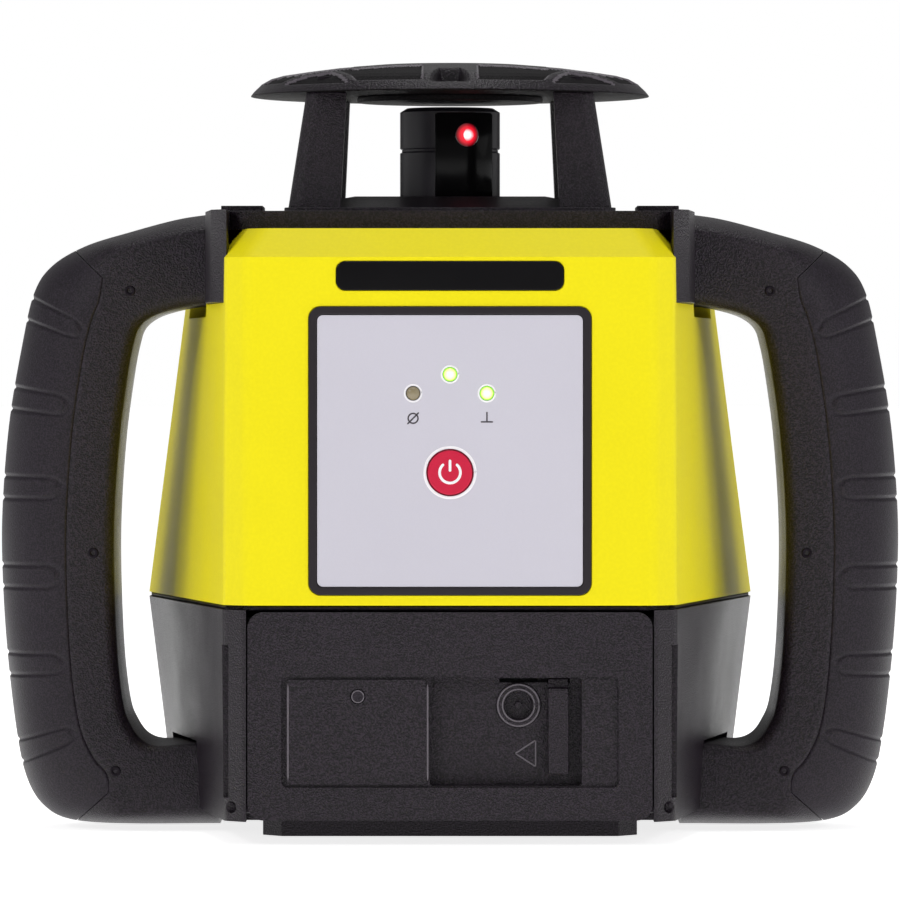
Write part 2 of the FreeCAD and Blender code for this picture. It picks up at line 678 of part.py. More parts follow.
def build_cover():
    """The black cover that carries the crown's posts and closes the handle sockets."""
    half, front = S.cover_half, S.cover_front
    middle = slab("cover_middle", both_sides([(half, -front), (half, front + 6)]),
                  S.roof, S.cover_top - S.roof, 4)
    hub = new_body("cover_hub")
    flat = S.hub_half
    loft(hub, [outline(hub, "hub_low", "XY", S.cover_top, both_sides([(half, -half), (half, half)])),
               outline(hub, "hub_high", "XY", S.hub_top, both_sides([(flat, -flat), (flat, flat)]))])
    far = S.handle_root + 2.6
    flank_front, flank_thick = front + 5, 4.9
    flanks = slab("cover_flanks", both_sides([(half, -flank_front), (far - 9, -flank_front + 1),
                                              (far - 3, -flank_front + 7), (far, -flank_front + 18),
                                              (far, front - 12), (far - 9, front)]),
                  S.roof, flank_thick, 3)
    blocks = flank_blocks("cover_flank", as_size(0), FLANK_LOW, S.roof + flank_thick)
    ear_high = S.roof + flank_thick + 2.4
    ears = [box(f"cover_ear_{side}", ends, (-14, 12), (S.roof + 1, ear_high))
            for side, ends in (("right", (far - 14, far - 3)), ("left", (-far + 3, -far + 14)))]
    slots = [box(f"ear_slot_{side}", ends, (-8, 6), (S.roof + flank_thick, ear_high + 1))
             for side, ends in (("right", (far - 11, far - 7)), ("left", (-far + 7, -far + 11)))]
    bosses = [rod(f"cover_boss_{number}", 5, S.roof - CHASSIS_TOP, x, y, CHASSIS_TOP)
              for number, (x, y) in enumerate(STANDS)]
    whole = join("cover_whole", middle, hub, flanks, *blocks, *ears, *bosses)
    bore = rod("cover_bore", S.hub_bore, S.hub_top, z=S.pivot_height)
    sockets = handle_sockets("cover_socket", S.pivot_height, S.cover_top + 2)
    holes = [rod(f"cover_hole_{number}", 1.5, 20, x, y, S.cover_top - 18)
             for number, (x, y) in enumerate(COVER_SCREWS)]
    pits = [rod(f"cover_pit_{number}", 3.2, 10, x, y, S.roof + 3)
            for number, (x, y) in enumerate(COVER_SCREWS)]
    tunnels = [rod(f"boss_hole_{number}", 1.2, 20, x, y, CHASSIS_TOP - 10)
               for number, (x, y) in enumerate(STANDS)]
    node("top_cover", cut("top_cover_cut", whole, bore, *sockets, *slots, *holes, *pits, *tunnels))
    screws = [screw(f"cover_screw_{number}", 1.5, 2.8, 7.0, x, y, S.roof + 3, "down")
              for number, (x, y) in enumerate(COVER_SCREWS)]
    node("cover_screws", group("cover_screw_group", *screws))


CHASSIS_TOP = S.pivot_height + S.chassis_gap + S.plate_thick
STANDS = [(sx * S.stand_place, sy * S.stand_place) for sx in (1, -1) for sy in (1, -1)]
COVER_SCREWS = [(sx * (S.handle_root - 12), sy * (S.cover_front - 8)) for sx in (1, -1)
                for sy in (1, -1)]


def post_plan(inner, outer):
    """A post's section in the +X, +Y quarter: inner corner cut off, outer corner rounded."""
    return [(inner + 5, inner, None), (outer, inner, None), (outer, outer, S.post_round),
            (inner, outer, None), (inner, inner + 5, None)]


def build_posts():
    """Four leaning posts between the cover and the crown."""
    body = new_body("post")
    low = post_plan(S.post_inner, S.post_outer)
    high = post_plan(S.post_inner - S.post_lean_in, S.post_outer - S.post_lean_out)
    loft(body, [rounded_outline(body, "post_low", "XY", S.cover_top - 2, low),
                rounded_outline(body, "post_high", "XY", S.crown_rim, high)])
    posts = four_ways("post_ring", body)
    cover = doc.getObject("top_cover_cut")
    holes = four_ways("post_hole", rod("post_hole_rod", 1.2, 14, *CROWN_SCREW, S.crown_rim - 13))
    node("crown_posts", cut("crown_posts_cut", posts, cover, holes))


CROWN_SCREW = (S.post_inner + 3.6, S.post_inner + 3.6)


def wheel(name, points):
    """A solid of revolution about the spin axis, from its (radius, height) outline."""
    body = new_body(name)
    sketch = outline(body, name + "_profile", "XZ", 0, points)
    feature = body.newObject("PartDesign::Revolution", name + "_turn")
    feature.Profile = sketch
    feature.ReferenceAxis = (sketch, ["V_Axis"])
    feature.Angle = 360
    body.Tip = feature
    return body


def crown_profile(drop):
    """The crown's outline, its upper side lowered by drop."""
    rim, top = S.crown_rim, S.crown_rim + S.crown_rise - drop
    edge = S.crown_radius
    return [(as_size(0), rim), (edge, rim), (edge - 2.7, top - 5.6), (edge - 5.6, top - 4.0),
            (edge - 15, top - 2.3), (edge - 23, top - 1.3), (edge - 33, top - 0.4),
            (as_size(0), top)]


def build_crown():
    """The crown: a shallow dome with four sight grooves, textured pads and a liner below."""
    dome = wheel("crown_dome", crown_profile(as_size(0)))
    start, far = S.groove_start, S.crown_radius + 1
    wedge = slab("groove_wedge", [(-S.groove_inner, -start), (-S.groove_outer, -far),
                                  (S.groove_outer, -far), (S.groove_inner, -start)],
                 S.crown_rim + S.crown_floor, 12)
    grooves = four_ways("grooves", wedge)
    sector = slab("pad_sector", [(5, -30), (6.5, -46), (16, -44), (29, -37), (22, -25), (8, -28)],
                  S.crown_rim + 3, 12)
    other = mirror("pad_sector_other", sector)
    sectors = four_ways("pad_sectors", group("pad_pair", sector, other))
    under = wheel("pad_floor", crown_profile(as_size(0.9)))
    shell = cut("pad_shell", dome, under)
    pads = common("pads", shell, sectors)
    pits = four_ways("crown_pits", rod("crown_pit", 3.0, 12, *CROWN_SCREW, S.crown_rim + 2.4))
    holes = four_ways("crown_holes", rod("crown_hole", 1.6, 12, *CROWN_SCREW, S.crown_rim - 1))
    node("crown_cap", cut("crown_cap_cut", dome, grooves, pads, pits, holes))
    node("crown_pads", pads)
    node("crown_liner", rod("crown_liner_disc", S.liner_radius, S.liner_drop,
                            z=S.crown_rim - S.liner_drop))
    block_half = S.groove_inner - 0.3
    block = box("sight_block", (-block_half, block_half), (-start - 3.4, -start - 0.4),
                (S.crown_rim + S.crown_floor, S.crown_rim + S.crown_rise - 1.6))
    node("sight_blocks", four_ways("sight_block_ring", block))
    turned = four_ways("crown_screw_ring", screw("crown_screw", 1.15, 2.6, 12.0, *CROWN_SCREW,
                                                 S.crown_rim + 2.4, "down"))
    node("crown_screws", turned)


# ---------------------------------------------------------------- handles

def handle_block(name, inset):
    """A handle as one block on the +X side, its outer side pulled in by inset."""
    body = new_body(name)
    root, far, thick = S.handle_root, S.handle_half - inset, S.handle_thick
    top, low = S.handle_top - inset, as_size(0.6) + inset
    outer_x, inner_x = far - 7.5, S.handle_half - thick - 3.2
    points = [
        (root, low + 0.6), (outer_x + 1.5, low, 420.0),
        (outer_x, top - 12.5), (root, top),
        (root, UPPER_ARM_LOW), (inner_x - 1.5, UPPER_ARM_LOW - ARM_DROP, -560.0),
        (inner_x + 0.5, LOWER_ARM_HIGH - 0.6), (root, LOWER_ARM_HIGH),
    ]
    sketch = outline(body, name + "_outline", "XZ", S.handle_front - S.handle_depth, points)
    pad(body, sketch, S.handle_depth)

    def corner(outward):
        def wanted(edge):
            point = edge.Vertexes[0].Point
            is_out = point.x > (S.handle_half.value - S.handle_thick.value / 2)
            is_in = S.handle_root.value + 1 < point.x and not is_out
            return runs_along("y")(edge) and (is_out if outward else is_in)
        return wanted

    round_edges(body, name + "_outer_corners", 24.0 - inset, corner(True))
    round_edges(body, name + "_inner_corners", 9.0, corner(False))

    def rim(outward):
        def wanted(edge):
            points = [edge.valueAt(edge.FirstParameter + (edge.LastParameter - edge.FirstParameter)
                                   * share) for share in (0.0, 0.5, 1.0)]
            flat = max(abs(point.y - points[0].y) for point in points) < 0.01
            middle = points[1]
            if not flat or max(abs(point.x - S.handle_root.value) for point in points) < 0.01:
                return False
            arms = middle.z > UPPER_ARM_LOW.value + 5 or middle.z < LOWER_ARM_HIGH.value - 5
            is_out = arms or middle.x > S.handle_half.value - S.handle_thick.value / 2
            return is_out if outward else not is_out
        return wanted

    round_edges(body, name + "_outer_rim", S.handle_round, rim(True))
    round_edges(body, name + "_inner_rim", 4.0, rim(False))
    return body


def build_handles():
    """Two handles, each of a front and a rear shell under a rubber grip, with screws."""
    whole = handle_block("handle_whole", as_size(0))
    core = handle_block("handle_core", S.grip_thick)
    window = box("grip_window", (S.handle_half - S.handle_thick * 0.62, S.handle_half + 5),
                 (-40, 40), (as_size(14), S.shoulder - 6))
    skin = cut("grip_skin", whole, core)
    grip = common("grip", skin, window)
    hard = cut("handle_hard", whole, grip)
    split = S.handle_depth / 2 - S.handle_front
    far = S.handle_half + 10
    fore = box("handle_fore", (0, far), (-60, split), (-5, 200))
    aft = box("handle_aft", (0, far), (split, 60), (-5, 200))
    bores = [rod(f"handle_hole_{number}", 1.4, S.handle_depth * 0.7, x, -S.handle_front - 1, z, "y")
             for number, (x, z) in enumerate(HANDLE_SCREWS)]
    front = cut("handle_front_cut", common("handle_front_half", hard, fore), *bores)
    rear = cut("handle_rear_cut", common("handle_rear_half", hard, aft), *bores)
    node("handle_right_front", front)
    node("handle_right_rear", rear)
    node("grip_right", grip)
    node("handle_left_front", mirror("handle_left_front_mirror", front))
    node("handle_left_rear", mirror("handle_left_rear_mirror", rear))
    node("grip_left", mirror("grip_left_mirror", grip))
    pins = [rod(f"handle_screw_{number}", 1.35, S.handle_depth * 0.7 - 1.4, x,
                -S.handle_front + 0.4, z, "y") for number, (x, z) in enumerate(HANDLE_SCREWS)]
    right = group("handle_screws_right", *pins)
    node("handle_screws", group("handle_screw_group", right,
                                mirror("handle_screws_left", right)))


HANDLE_SCREWS = [(S.handle_half - 35.4, S.handle_top - 21.3), (S.handle_half - 25.7, as_size(73.2)),
                 (S.handle_half - 31.5, as_size(15.8))]


# ---------------------------------------------------------------- keypad and nameplate

def build_keypad():
    """Keypad frame, overlay, lamps, power button and the board behind them."""
    half, rise, middle = S.keypad_width / 2, S.keypad_height / 2, S.keypad_middle
    sunk = S.front_reach - S.keypad_sink
    frame = panel("keypad_frame_plate", (-half, half), (middle - rise, middle + rise),
                  S.front_reach + S.keypad_proud, S.keypad_proud + S.keypad_sink, 3.2)
    inner_half, inner_rise = half - S.keypad_border, rise - S.keypad_border
    pit = panel("keypad_pit", (-inner_half, inner_half), (middle - inner_rise, middle + inner_rise),
                S.front_reach + 2, S.keypad_sink + 1.4, 1.6)
    eye = box("frame_eye", (-half + 8, half - 8), (-sunk - 2, -sunk + 2),
              (middle - rise + 8, middle + rise - 8))
    node("keypad_frame", cut("keypad_frame_cut", frame, pit, eye))
    gap = S.fit_gap
    sheet = panel("overlay_sheet", (-inner_half + gap, inner_half - gap),
                  (middle - inner_rise + gap, middle + inner_rise - gap),
                  S.front_reach + 0.2, 1.0, 1.5)
    lamps = [(-S.lamp_pitch, S.lamp_height), (as_size(0), S.lamp_height + 4.8),
             (S.lamp_pitch, S.lamp_height)]
    bores = [rod(f"lamp_bore_{number}", S.lamp_radius + 0.1, 6, x, -S.front_reach - 2, z, "y")
             for number, (x, z) in enumerate(lamps)]
    button_bore = rod("button_bore", S.button_radius + 0.3, 6, 0, -S.front_reach - 2,
                      S.button_height, "y")
    node("keypad_overlay", cut("keypad_overlay_cut", sheet, *bores, button_bore))
    bodies = [join(f"lamp_{number}",
                   rod(f"lamp_lens_{number}", S.lamp_radius, 3.2, x, -S.front_reach - 0.5, z, "y"),
                   rod(f"lamp_foot_{number}", S.lamp_radius + 0.5, 3.0, x, -S.front_reach + 2.6,
                       z, "y"))
              for number, (x, z) in enumerate(lamps)]
    node("warning_lamp", bodies[0])
    node("level_lamps", group("level_lamp_pair", bodies[1], bodies[2]))
    face = rod("button_disc", S.button_radius, 2.4, 0, -S.front_reach - 0.8, S.button_height, "y")
    back = -S.front_reach + 5.6
    switch_face = back - 1.0
    stem = rod("button_stem", 1.6, switch_face - S.button_travel - 0.2 - (-S.front_reach + 1.0), 0,
               -S.front_reach + 1.0, S.button_height, "y")
    flange = rod("button_flange", S.button_radius + 0.9, 0.8, 0, -S.front_reach + 1.0,
                 S.button_height, "y")
    node("power_button", join("power_button_body", face, stem, flange))
    board = box("keypad_board_plate", (-half + 9, half - 9), (back, back + 1.6),
                (middle - rise + 10, middle + rise - 10))
    switch = rod("tact_switch", 2.6, 1.0, 0, switch_face, S.button_height, "y")
    node("keypad_board", join("keypad_board_body", board, switch))
    half, rise, middle = S.nameplate_width / 2, S.nameplate_height / 2, S.nameplate_middle
    node("nameplate", panel("nameplate_plate", (-half, half), (middle - rise, middle + rise),
                            S.front_reach + 0.3, S.keypad_sink - 0.1, 2.4))


# ---------------------------------------------------------------- battery door and bay

def build_door():
    """The battery door: hinged at the foot, with a recess, a latch well and a charging socket."""
    reach = S.front_reach
    low, high = S.base_top + S.door_gap, S.parting - S.door_gap - 0.1
    slab_front = panel("door_slab", (-S.door_half, S.door_half), (low, high), reach,
                       S.door_thick, 4.0)
    recess = panel("door_recess", (-S.recess_half, S.recess_half), (S.recess_low, S.recess_high),
                   reach + 1, S.recess_sink + 1, 1.5)
    well = panel("door_well", (S.well_left, S.well_right), (S.recess_low + 0.4, S.recess_high - 0.4),
                 reach + 1, S.recess_sink + S.well_sink + 1, 1.0)
    rib = panel("door_rib", (-S.recess_half + 1.2, S.well_left - 0.8),
                (S.recess_low + 0.8, S.recess_high - 0.8), reach - 0.3, S.recess_sink - 0.3, 1.2)
    pin = rod("door_pin_bore", S.hinge_radius + S.running_fit, S.door_half * 2 + 2,
              -S.door_half - 1, -reach + S.hinge_setback, S.hinge_height, "x")
    latch_low = S.latch_place - S.latch_travel - S.latch_width / 2 - 0.4
    latch_high = S.latch_place + S.latch_width / 2 + 0.4
    slot = box("latch_slot", (latch_low, latch_high), (-reach, -reach + S.door_thick + 1),
               (NECK_LOW - 0.2, NECK_HIGH + 0.2))
    seat_bore = rod("socket_seat", S.socket_radius + 0.05, S.door_thick + 4, S.socket_place,
                    -reach - 1, S.socket_height, "y")
    lamp_bore = rod("door_plug_seat", 1.95, 4, DOOR_PLUG[0], -reach - 1, DOOR_PLUG[1], "y")
    toe = box("door_toe", (-S.door_half - 1, S.door_half + 1),
              (-reach + S.hinge_setback + 3.2, -reach + S.door_thick + 1),
              (S.base_top, S.hinge_height + 4.2))
    body = cut("door_body", slab_front, recess, well, pin, slot, seat_bore, toe)
    node("battery_door", cut("battery_door_cut", join("door_ribbed", body, rib), lamp_bore))
    floor = -reach + S.recess_sink + S.well_sink
    ring = tube("socket_ring", S.socket_radius, S.socket_bore, 3.2, S.socket_place, floor - 0.5,
                S.socket_height, "y")
    back = rod("socket_back", S.socket_radius, 0.8, S.socket_place, floor + 2.2, S.socket_height, "y")
    pole = rod("socket_pole", 0.9, 2.6, S.socket_place, floor, S.socket_height, "y")
    node("charge_socket", join("charge_socket_body", ring, back, pole))
    node("door_plug", rod("door_plug_pin", 1.8, 2.6, DOOR_PLUG[0], -reach + 0.1, DOOR_PLUG[1], "y"))
    half = S.latch_width / 2
    x = S.latch_place
    high = NECK_HIGH
    behind = -reach + S.door_thick
    grip = box("latch_grip", (x - half, x + half), (-reach + 1.0, floor - 0.8),
               (S.recess_low + 3.4, S.recess_high - 3.0))
    foot = box("latch_foot", (x - half, x + half), (floor - 2.0, floor - 0.8),
               (S.recess_low + 3.4, high))
    neck = box("latch_neck", (x - half, x + half), (floor - 1.2, behind + 0.6), (NECK_LOW, high))
    shoe = box("latch_shoe", (x - 5.5, x + half), (behind + 0.5, behind + 2.3),
               (high - 4.5, high + 1.5))
    node("latch_slider", join("latch_slider_body", grip, foot, neck, shoe))
    pins = rod("hinge_pin_rod", S.hinge_radius, S.door_half * 2 + 6, -S.door_half - 3,
               -reach + S.hinge_setback, S.hinge_height, "x")
    node("hinge_pin", pins)


DOOR_PLUG = (as_size(-23.5), as_size(38.0))
NECK_LOW = S.socket_height + S.socket_radius + 0.3   # the latch's neck passes over the socket
NECK_HIGH = NECK_LOW + 0.9


def build_battery():
    """Four cells in their tray, with contact springs."""
    pitch = S.cell_radius + 0.6
    front = -S.cell_length - 4
    cells, springs = [], []
    for side, sign in (("right", 1), ("left", -1)):
        for place, start in (("fore", front), ("aft", as_size(1.0))):
            name = f"cell_{side}_{place}"
            can = rod(name + "_can", S.cell_radius, S.cell_length - 2, pitch * sign, start,
                      S.cell_floor + S.cell_radius, "y")
            tip = rod(name + "_tip", 4.6, 2.0, pitch * sign, start + S.cell_length - 2,
                      S.cell_floor + S.cell_radius, "y")
            cells.append(join(name, can, tip))
        springs.append(cone(f"spring_{side}", 7.0, 4.5, 5.0, pitch * sign,
                            1.0 + S.cell_length + 0.2, S.cell_floor + S.cell_radius, "y"))
    node("battery_cells", group("cell_group", *cells))
    node("contact_springs", group("spring_group", *springs))
    half = pitch + S.cell_radius + 1.5
    high = S.cell_floor + S.cell_radius
    back = 1.0 + S.cell_length + 5.4
    tray = box("tray_block", (-half, half), (front - 1, back + 2.0), (S.cell_floor - 2, high))
    troughs = [box(f"tray_trough_{number}", (low, low + S.cell_radius * 2 + 0.6),
                   (front - 2, back), (S.cell_floor, high + 1))
               for number, low in enumerate((pitch - S.cell_radius - 0.3,
                                             -pitch - S.cell_radius - 0.3))]
    node("battery_tray", cut("battery_tray_cut", tray, *troughs))
    board = box("main_board_plate", (-34, 34), (S.back_reach - 24, S.back_reach - 22.4),
                (S.parting + 8, S.shoulder - 24))
    chip = box("main_chip", (-9, 9), (S.back_reach - 26.4, S.back_reach - 24),
               (S.parting + 30, S.parting + 48))
    node("main_board", join("main_board_body", board, chip))


# ---------------------------------------------------------------- laser unit

def build_chassis():
    """The chassis that hangs from the cover: plate, pin brackets, standoffs, motor plate."""
    low = S.pivot_height + S.chassis_gap
    half = S.chassis_half
    plate = box("chassis_sheet", (-half, half), (-half, half), (low, low + S.plate_thick))
    hole = rod("chassis_bore", S.ring_inner, S.plate_thick + 2, z=low - 1)
    near = S.ring_outer + 2
    brackets = [box(f"pin_bracket_{side}", ends, (-6, 6), (S.pivot_height - 6, low + 0.5))
                for side, ends in (("right", (near, near + 5)), ("left", (-near - 5, -near)))]
    bores = [rod(f"stand_hole_{number}", 1.2, S.plate_thick + 2, x, y, low - 1)
             for number, (x, y) in enumerate(STANDS)]
    pin_bore = rod("bracket_bore", S.pin_radius, near * 2 + 14, -near - 7, 0, S.pivot_height, "x")
    node("chassis_plate", cut("chassis_plate_cut", join("chassis_body", plate, *brackets), hole,
                              pin_bore, *bores))
    reach = S.ring_outer - S.ring_inner + 6
    pins = [rod(f"outer_pin_{side}", S.pin_radius, reach, start, 0, S.pivot_height, "x")
            for side, start in (("right", S.ring_inner + 1), ("left", -S.ring_inner - 1 - reach))]
    node("chassis_pins", group("chassis_pin_pair", *pins))
    floor = S.motor_floor
    rise = low - (floor + S.plate_thick)
    stands = [rod(f"standoff_{number}", 3.0, rise, x, y, floor + S.plate_thick)
              for number, (x, y) in enumerate(STANDS)]
    node("standoffs", group("standoff_group", *stands))
    reach = S.arm_reach + CAN_RADIUS + 2
    base = slab("motor_sheet", [(-half, -half), (half, -half), (half, -CAN_RADIUS - 3),
                                (reach, -CAN_RADIUS - 3), (reach, as_size(CAN_RADIUS + 3)),
                                (half, as_size(CAN_RADIUS + 3)), (half, half),
                                (as_size(CAN_RADIUS + 3), half), (as_size(CAN_RADIUS + 3), reach),
                                (as_size(-CAN_RADIUS - 3), reach), (as_size(-CAN_RADIUS - 3), half),
                                (-half, half)], floor, S.plate_thick)
    well = rod("motor_sheet_bore", S.ring_inner + 3, S.plate_thick + 2, z=floor - 1)
    passes = [rod(f"screw_pass_{number}", S.screw_radius + 1, S.plate_thick + 2, x, y, floor - 1)
              for number, (x, y) in enumerate(LEVEL_PLACES)]
    node("motor_plate", cut("motor_plate_cut", base, well, *passes))
    cans = []
    for number, (x, y) in enumerate(LEVEL_PLACES):
        can = rod(f"level_can_{number}", CAN_RADIUS, CAN_HEIGHT, x, y, floor - CAN_HEIGHT)
        bore = rod(f"level_can_bore_{number}", S.screw_radius + S.running_fit, 8, x, y, floor - 7)
        cans.append(cut(f"level_motor_{number}", can, bore))
    node("level_motors", group("level_motor_pair", *cans))


LEVEL_PLACES = [(S.arm_reach, as_size(0)), (as_size(0), S.arm_reach)]
UNIT_ARM_LOW = S.pivot_height - 16      # underside of the arm on the laser barrel
RING_ARM_LOW = S.pivot_height - 10      # underside of the arm on the gimbal ring


def build_drives():
    """The two levelling screws and the plungers that they raise."""
    places = (("x", LEVEL_PLACES[0], UNIT_ARM_LOW), ("y", LEVEL_PLACES[1], RING_ARM_LOW))
    for name, (x, y), arm_low in places:
        top = arm_low - S.touch_gap
        length = as_size(20)
        tip = 3.0
        stem = rod(f"plunger_stem_{name}", S.plunger_radius, length - tip, x, y, top - length)
        nose = cone(f"plunger_nose_{name}", S.plunger_radius, 1.8, tip, x, y, top - tip)
        bore = rod(f"plunger_bore_{name}", S.screw_radius + S.running_fit, length - 3, x, y,
                   top - length - 1)
        node(f"level_plunger_{name}", cut(f"plunger_{name}", join(f"plunger_body_{name}", stem, nose),
                                          bore))
        foot = S.motor_floor - 6
        node(f"level_screw_{name}", rod(f"screw_{name}", S.screw_radius, top - 9.5 - foot, x, y, foot))


def build_gimbal():
    """The gimbal ring, with the arm that its levelling plunger lifts."""
    low = S.pivot_height - S.ring_height / 2
    ring = tube("gimbal_tube", S.ring_outer, S.ring_inner, S.ring_height, z=low)
    side = rod("gimbal_bore_x", S.pin_radius + S.running_fit, S.ring_outer * 2 + 4,
               -S.ring_outer - 2, 0, S.pivot_height, "x")
    fore = rod("gimbal_bore_y", S.pin_radius + S.running_fit, S.ring_outer * 2 + 4,
               0, -S.ring_outer - 2, S.pivot_height, "y")
    node("gimbal_ring", cut("gimbal_ring_cut", ring, side, fore))
    node("ring_arm", box("ring_arm_bar", (-4, 4), (S.ring_inner + 1, S.arm_reach + ARM_SPREAD),
                         (RING_ARM_LOW, low)))


def build_laser_unit():
    """The barrel that hangs in the gimbal: bearings, motor stator, diode module, arm."""
    floor, top = as_size(76), S.head_foot - 3
    barrel = tube("barrel_tube", S.barrel_radius, S.barrel_radius - S.barrel_wall, top - floor,
                  z=floor)
    pin_bore = rod("barrel_bore", S.pin_radius, S.barrel_radius * 2 + 2,
                   0, -S.barrel_radius - 1, S.pivot_height, "y")
    node("barrel", cut("barrel_cut", barrel, pin_bore))
    reach = S.ring_outer - 1 - (S.barrel_radius - S.barrel_wall + 0.4)
    pins = [rod(f"inner_pin_{side}", S.pin_radius, reach, 0, start, S.pivot_height, "y")
            for side, start in (("fore", -S.ring_outer + 1), ("aft", S.ring_outer - 1 - reach))]
    node("barrel_pins", group("barrel_pin_pair", *pins))
    collar = tube("arm_collar", S.barrel_radius + 2.5, S.barrel_radius, 4.0, z=UNIT_ARM_LOW)
    bar = box("arm_bar", (S.barrel_radius + 1, S.arm_reach + ARM_SPREAD), (-4, 4),
              (UNIT_ARM_LOW, UNIT_ARM_LOW + 4.0))
    node("unit_arm", join("unit_arm_body", collar, bar))
    inner = S.barrel_radius - S.barrel_wall
    bearings = [tube(f"bearing_{place}", inner, S.shaft_radius, 5.0, z=height)
                for place, height in (("high", top - 5.5), ("low", S.pivot_height - 14))]
    node("shaft_bearings", group("bearing_pair", *bearings))
    node("motor_stator", tube("stator", inner, S.shaft_radius + 1.6, 7.0, z=S.pivot_height - 23))
    tube_part = rod("diode_tube", 5.5, 22, z=floor + 5)
    flange = rod("diode_flange", inner, 4, z=floor + 1)
    node("laser_module", join("laser_module_body", tube_part, flange))


def build_rotor():
    """The spinning head on its hollow spindle: head, window, lens, prism and motor magnet."""
    top = S.head_foot
    low = S.pivot_height - 24
    spindle = tube("spindle_tube", S.shaft_radius - S.running_fit, S.shaft_bore, top - low, z=low)
    node("rotor_shaft", spindle)
    node("rotor_magnet", tube("magnet", S.shaft_radius + 1.3, S.shaft_radius - S.running_fit, 6.0,
                              z=S.pivot_height - 22.5))
    high = S.head_top
    profile = [(S.shaft_bore, top), (S.head_radius, top), (S.head_radius, S.beam_height - 4.6),
               (S.head_radius - 0.5, S.beam_height - 4.3),
               (S.head_radius - 0.5, S.beam_height - 3.7),
               (S.head_radius, S.beam_height - 3.4), (S.head_radius, high - 1.1),
               (S.head_radius - 1.8, high), (as_size(0), high), (as_size(0), high - S.head_wall),
               (S.head_radius - S.head_wall, high - S.head_wall),
               (S.head_radius - S.head_wall, top + S.head_wall), (S.shaft_bore, top + S.head_wall)]
    shell = wheel("head_shell", profile)
    half = S.window_half
    flat = S.head_radius - 1.6
    bay = box("window_bay", (-half, half), (-S.head_radius - 1, -flat + 1.2),
              (S.head_foot + 4, high - 1.4))
    glass = box("window_glass", (-half + 0.1, half - 0.1), (-flat - 0.9, -flat + 0.9),
                (S.head_foot + 4.1, high - 1.5))
    round_cap = rod("window_round", S.head_radius - 0.05, 40, z=S.head_foot)
    glass = common("window_trim", glass, round_cap)
    lens_bore = rod("lens_bore", S.lens_radius + 0.05, 8, 0, -flat - 4, S.beam_height, "y")
    lens = rod("lens_disc", S.lens_radius, 2.2, 0, -flat - 0.8, S.beam_height, "y")
    prism = new_body("prism_block")
    wide, deep = 6.5, 5.5
    pad(prism, outline(prism, "prism_outline", "XY", S.beam_height - 7, [
        (-wide, -deep), (wide, -deep), (wide + 1.5, as_size(3.5)), (as_size(0), as_size(8.6)),
        (-wide - 1.5, as_size(3.5))]), 12)
    turn = FreeCAD.Rotation(UP, S.beam_turn.value)
    for name, piece in (("rotor_head", cut("rotor_head_cut", shell, bay)),
                        ("rotor_window", cut("rotor_window_cut", glass, lens_bore)),
                        ("aperture_lens", lens), ("pentaprism", prism)):
        turned = doc.addObject("Part::Compound", name + "_turned")
        turned.Links = [piece]
        turned.Placement = FreeCAD.Placement(FreeCAD.Vector(), turn)
        node(name, turned)


def check_and_write():
    """Stops on any failed object, then writes each finished piece to its own file."""
    doc.recompute()
    for item in doc.Objects:
        if "Invalid" in item.State or "Error" in item.State:
            raise RuntimeError(f"{item.Name} failed: {item.State}")
    os.makedirs("parts", exist_ok=True)
    for piece in NODES:
        shape = piece.Shape
        if shape.isNull() or not shape.isValid() or not shape.Solids:
            raise RuntimeError(f"{piece.Label} is not a valid solid")
        shape.exportStep(os.path.join("parts", piece.Label + ".step"))
        print(f"{piece.Label}: {len(shape.Solids)} solid(s), {shape.Volume:.0f} mm3")
    print(f"{len(NODES)} pieces")


build_upper_housing()
build_lower_housing()
build_base()
build_cover()
build_posts()
build_crown()
build_handles()
build_keypad()
build_door()
build_battery()
build_chassis()
build_drives()
build_gimbal()
build_laser_unit()
build_rotor()
check_and_write()
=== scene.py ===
"""Looks of a rotating laser level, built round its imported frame."""
import logging
import math
from dataclasses import dataclass, field
from enum import Enum

import bpy
import numpy as np
from bpy.types import ID, Material, Node, NodeSocket, NodeTree, Object
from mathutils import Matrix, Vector


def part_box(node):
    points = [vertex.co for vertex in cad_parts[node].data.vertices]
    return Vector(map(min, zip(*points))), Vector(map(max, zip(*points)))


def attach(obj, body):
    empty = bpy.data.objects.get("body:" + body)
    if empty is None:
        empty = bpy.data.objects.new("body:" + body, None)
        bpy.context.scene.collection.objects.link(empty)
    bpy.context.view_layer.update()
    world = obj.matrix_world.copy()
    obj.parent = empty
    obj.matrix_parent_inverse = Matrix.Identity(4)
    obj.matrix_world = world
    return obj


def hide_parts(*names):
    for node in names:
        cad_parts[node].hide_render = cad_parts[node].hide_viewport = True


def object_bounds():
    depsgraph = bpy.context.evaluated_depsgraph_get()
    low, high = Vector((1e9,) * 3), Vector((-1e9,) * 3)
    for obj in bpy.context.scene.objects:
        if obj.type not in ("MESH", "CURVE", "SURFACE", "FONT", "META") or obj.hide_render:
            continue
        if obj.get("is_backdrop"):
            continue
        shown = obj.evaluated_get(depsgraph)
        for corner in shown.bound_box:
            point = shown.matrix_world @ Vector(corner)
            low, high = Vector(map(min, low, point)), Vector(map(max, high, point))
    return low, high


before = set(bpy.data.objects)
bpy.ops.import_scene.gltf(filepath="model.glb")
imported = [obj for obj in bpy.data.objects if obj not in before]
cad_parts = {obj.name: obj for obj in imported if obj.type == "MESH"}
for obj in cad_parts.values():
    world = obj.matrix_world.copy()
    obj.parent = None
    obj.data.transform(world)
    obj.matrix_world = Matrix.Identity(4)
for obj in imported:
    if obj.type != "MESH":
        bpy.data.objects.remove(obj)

log = logging.getLogger("laser_level")
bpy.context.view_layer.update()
MM = 0.001
Pair = tuple[float, float]                  # across and up, or two ends of a range
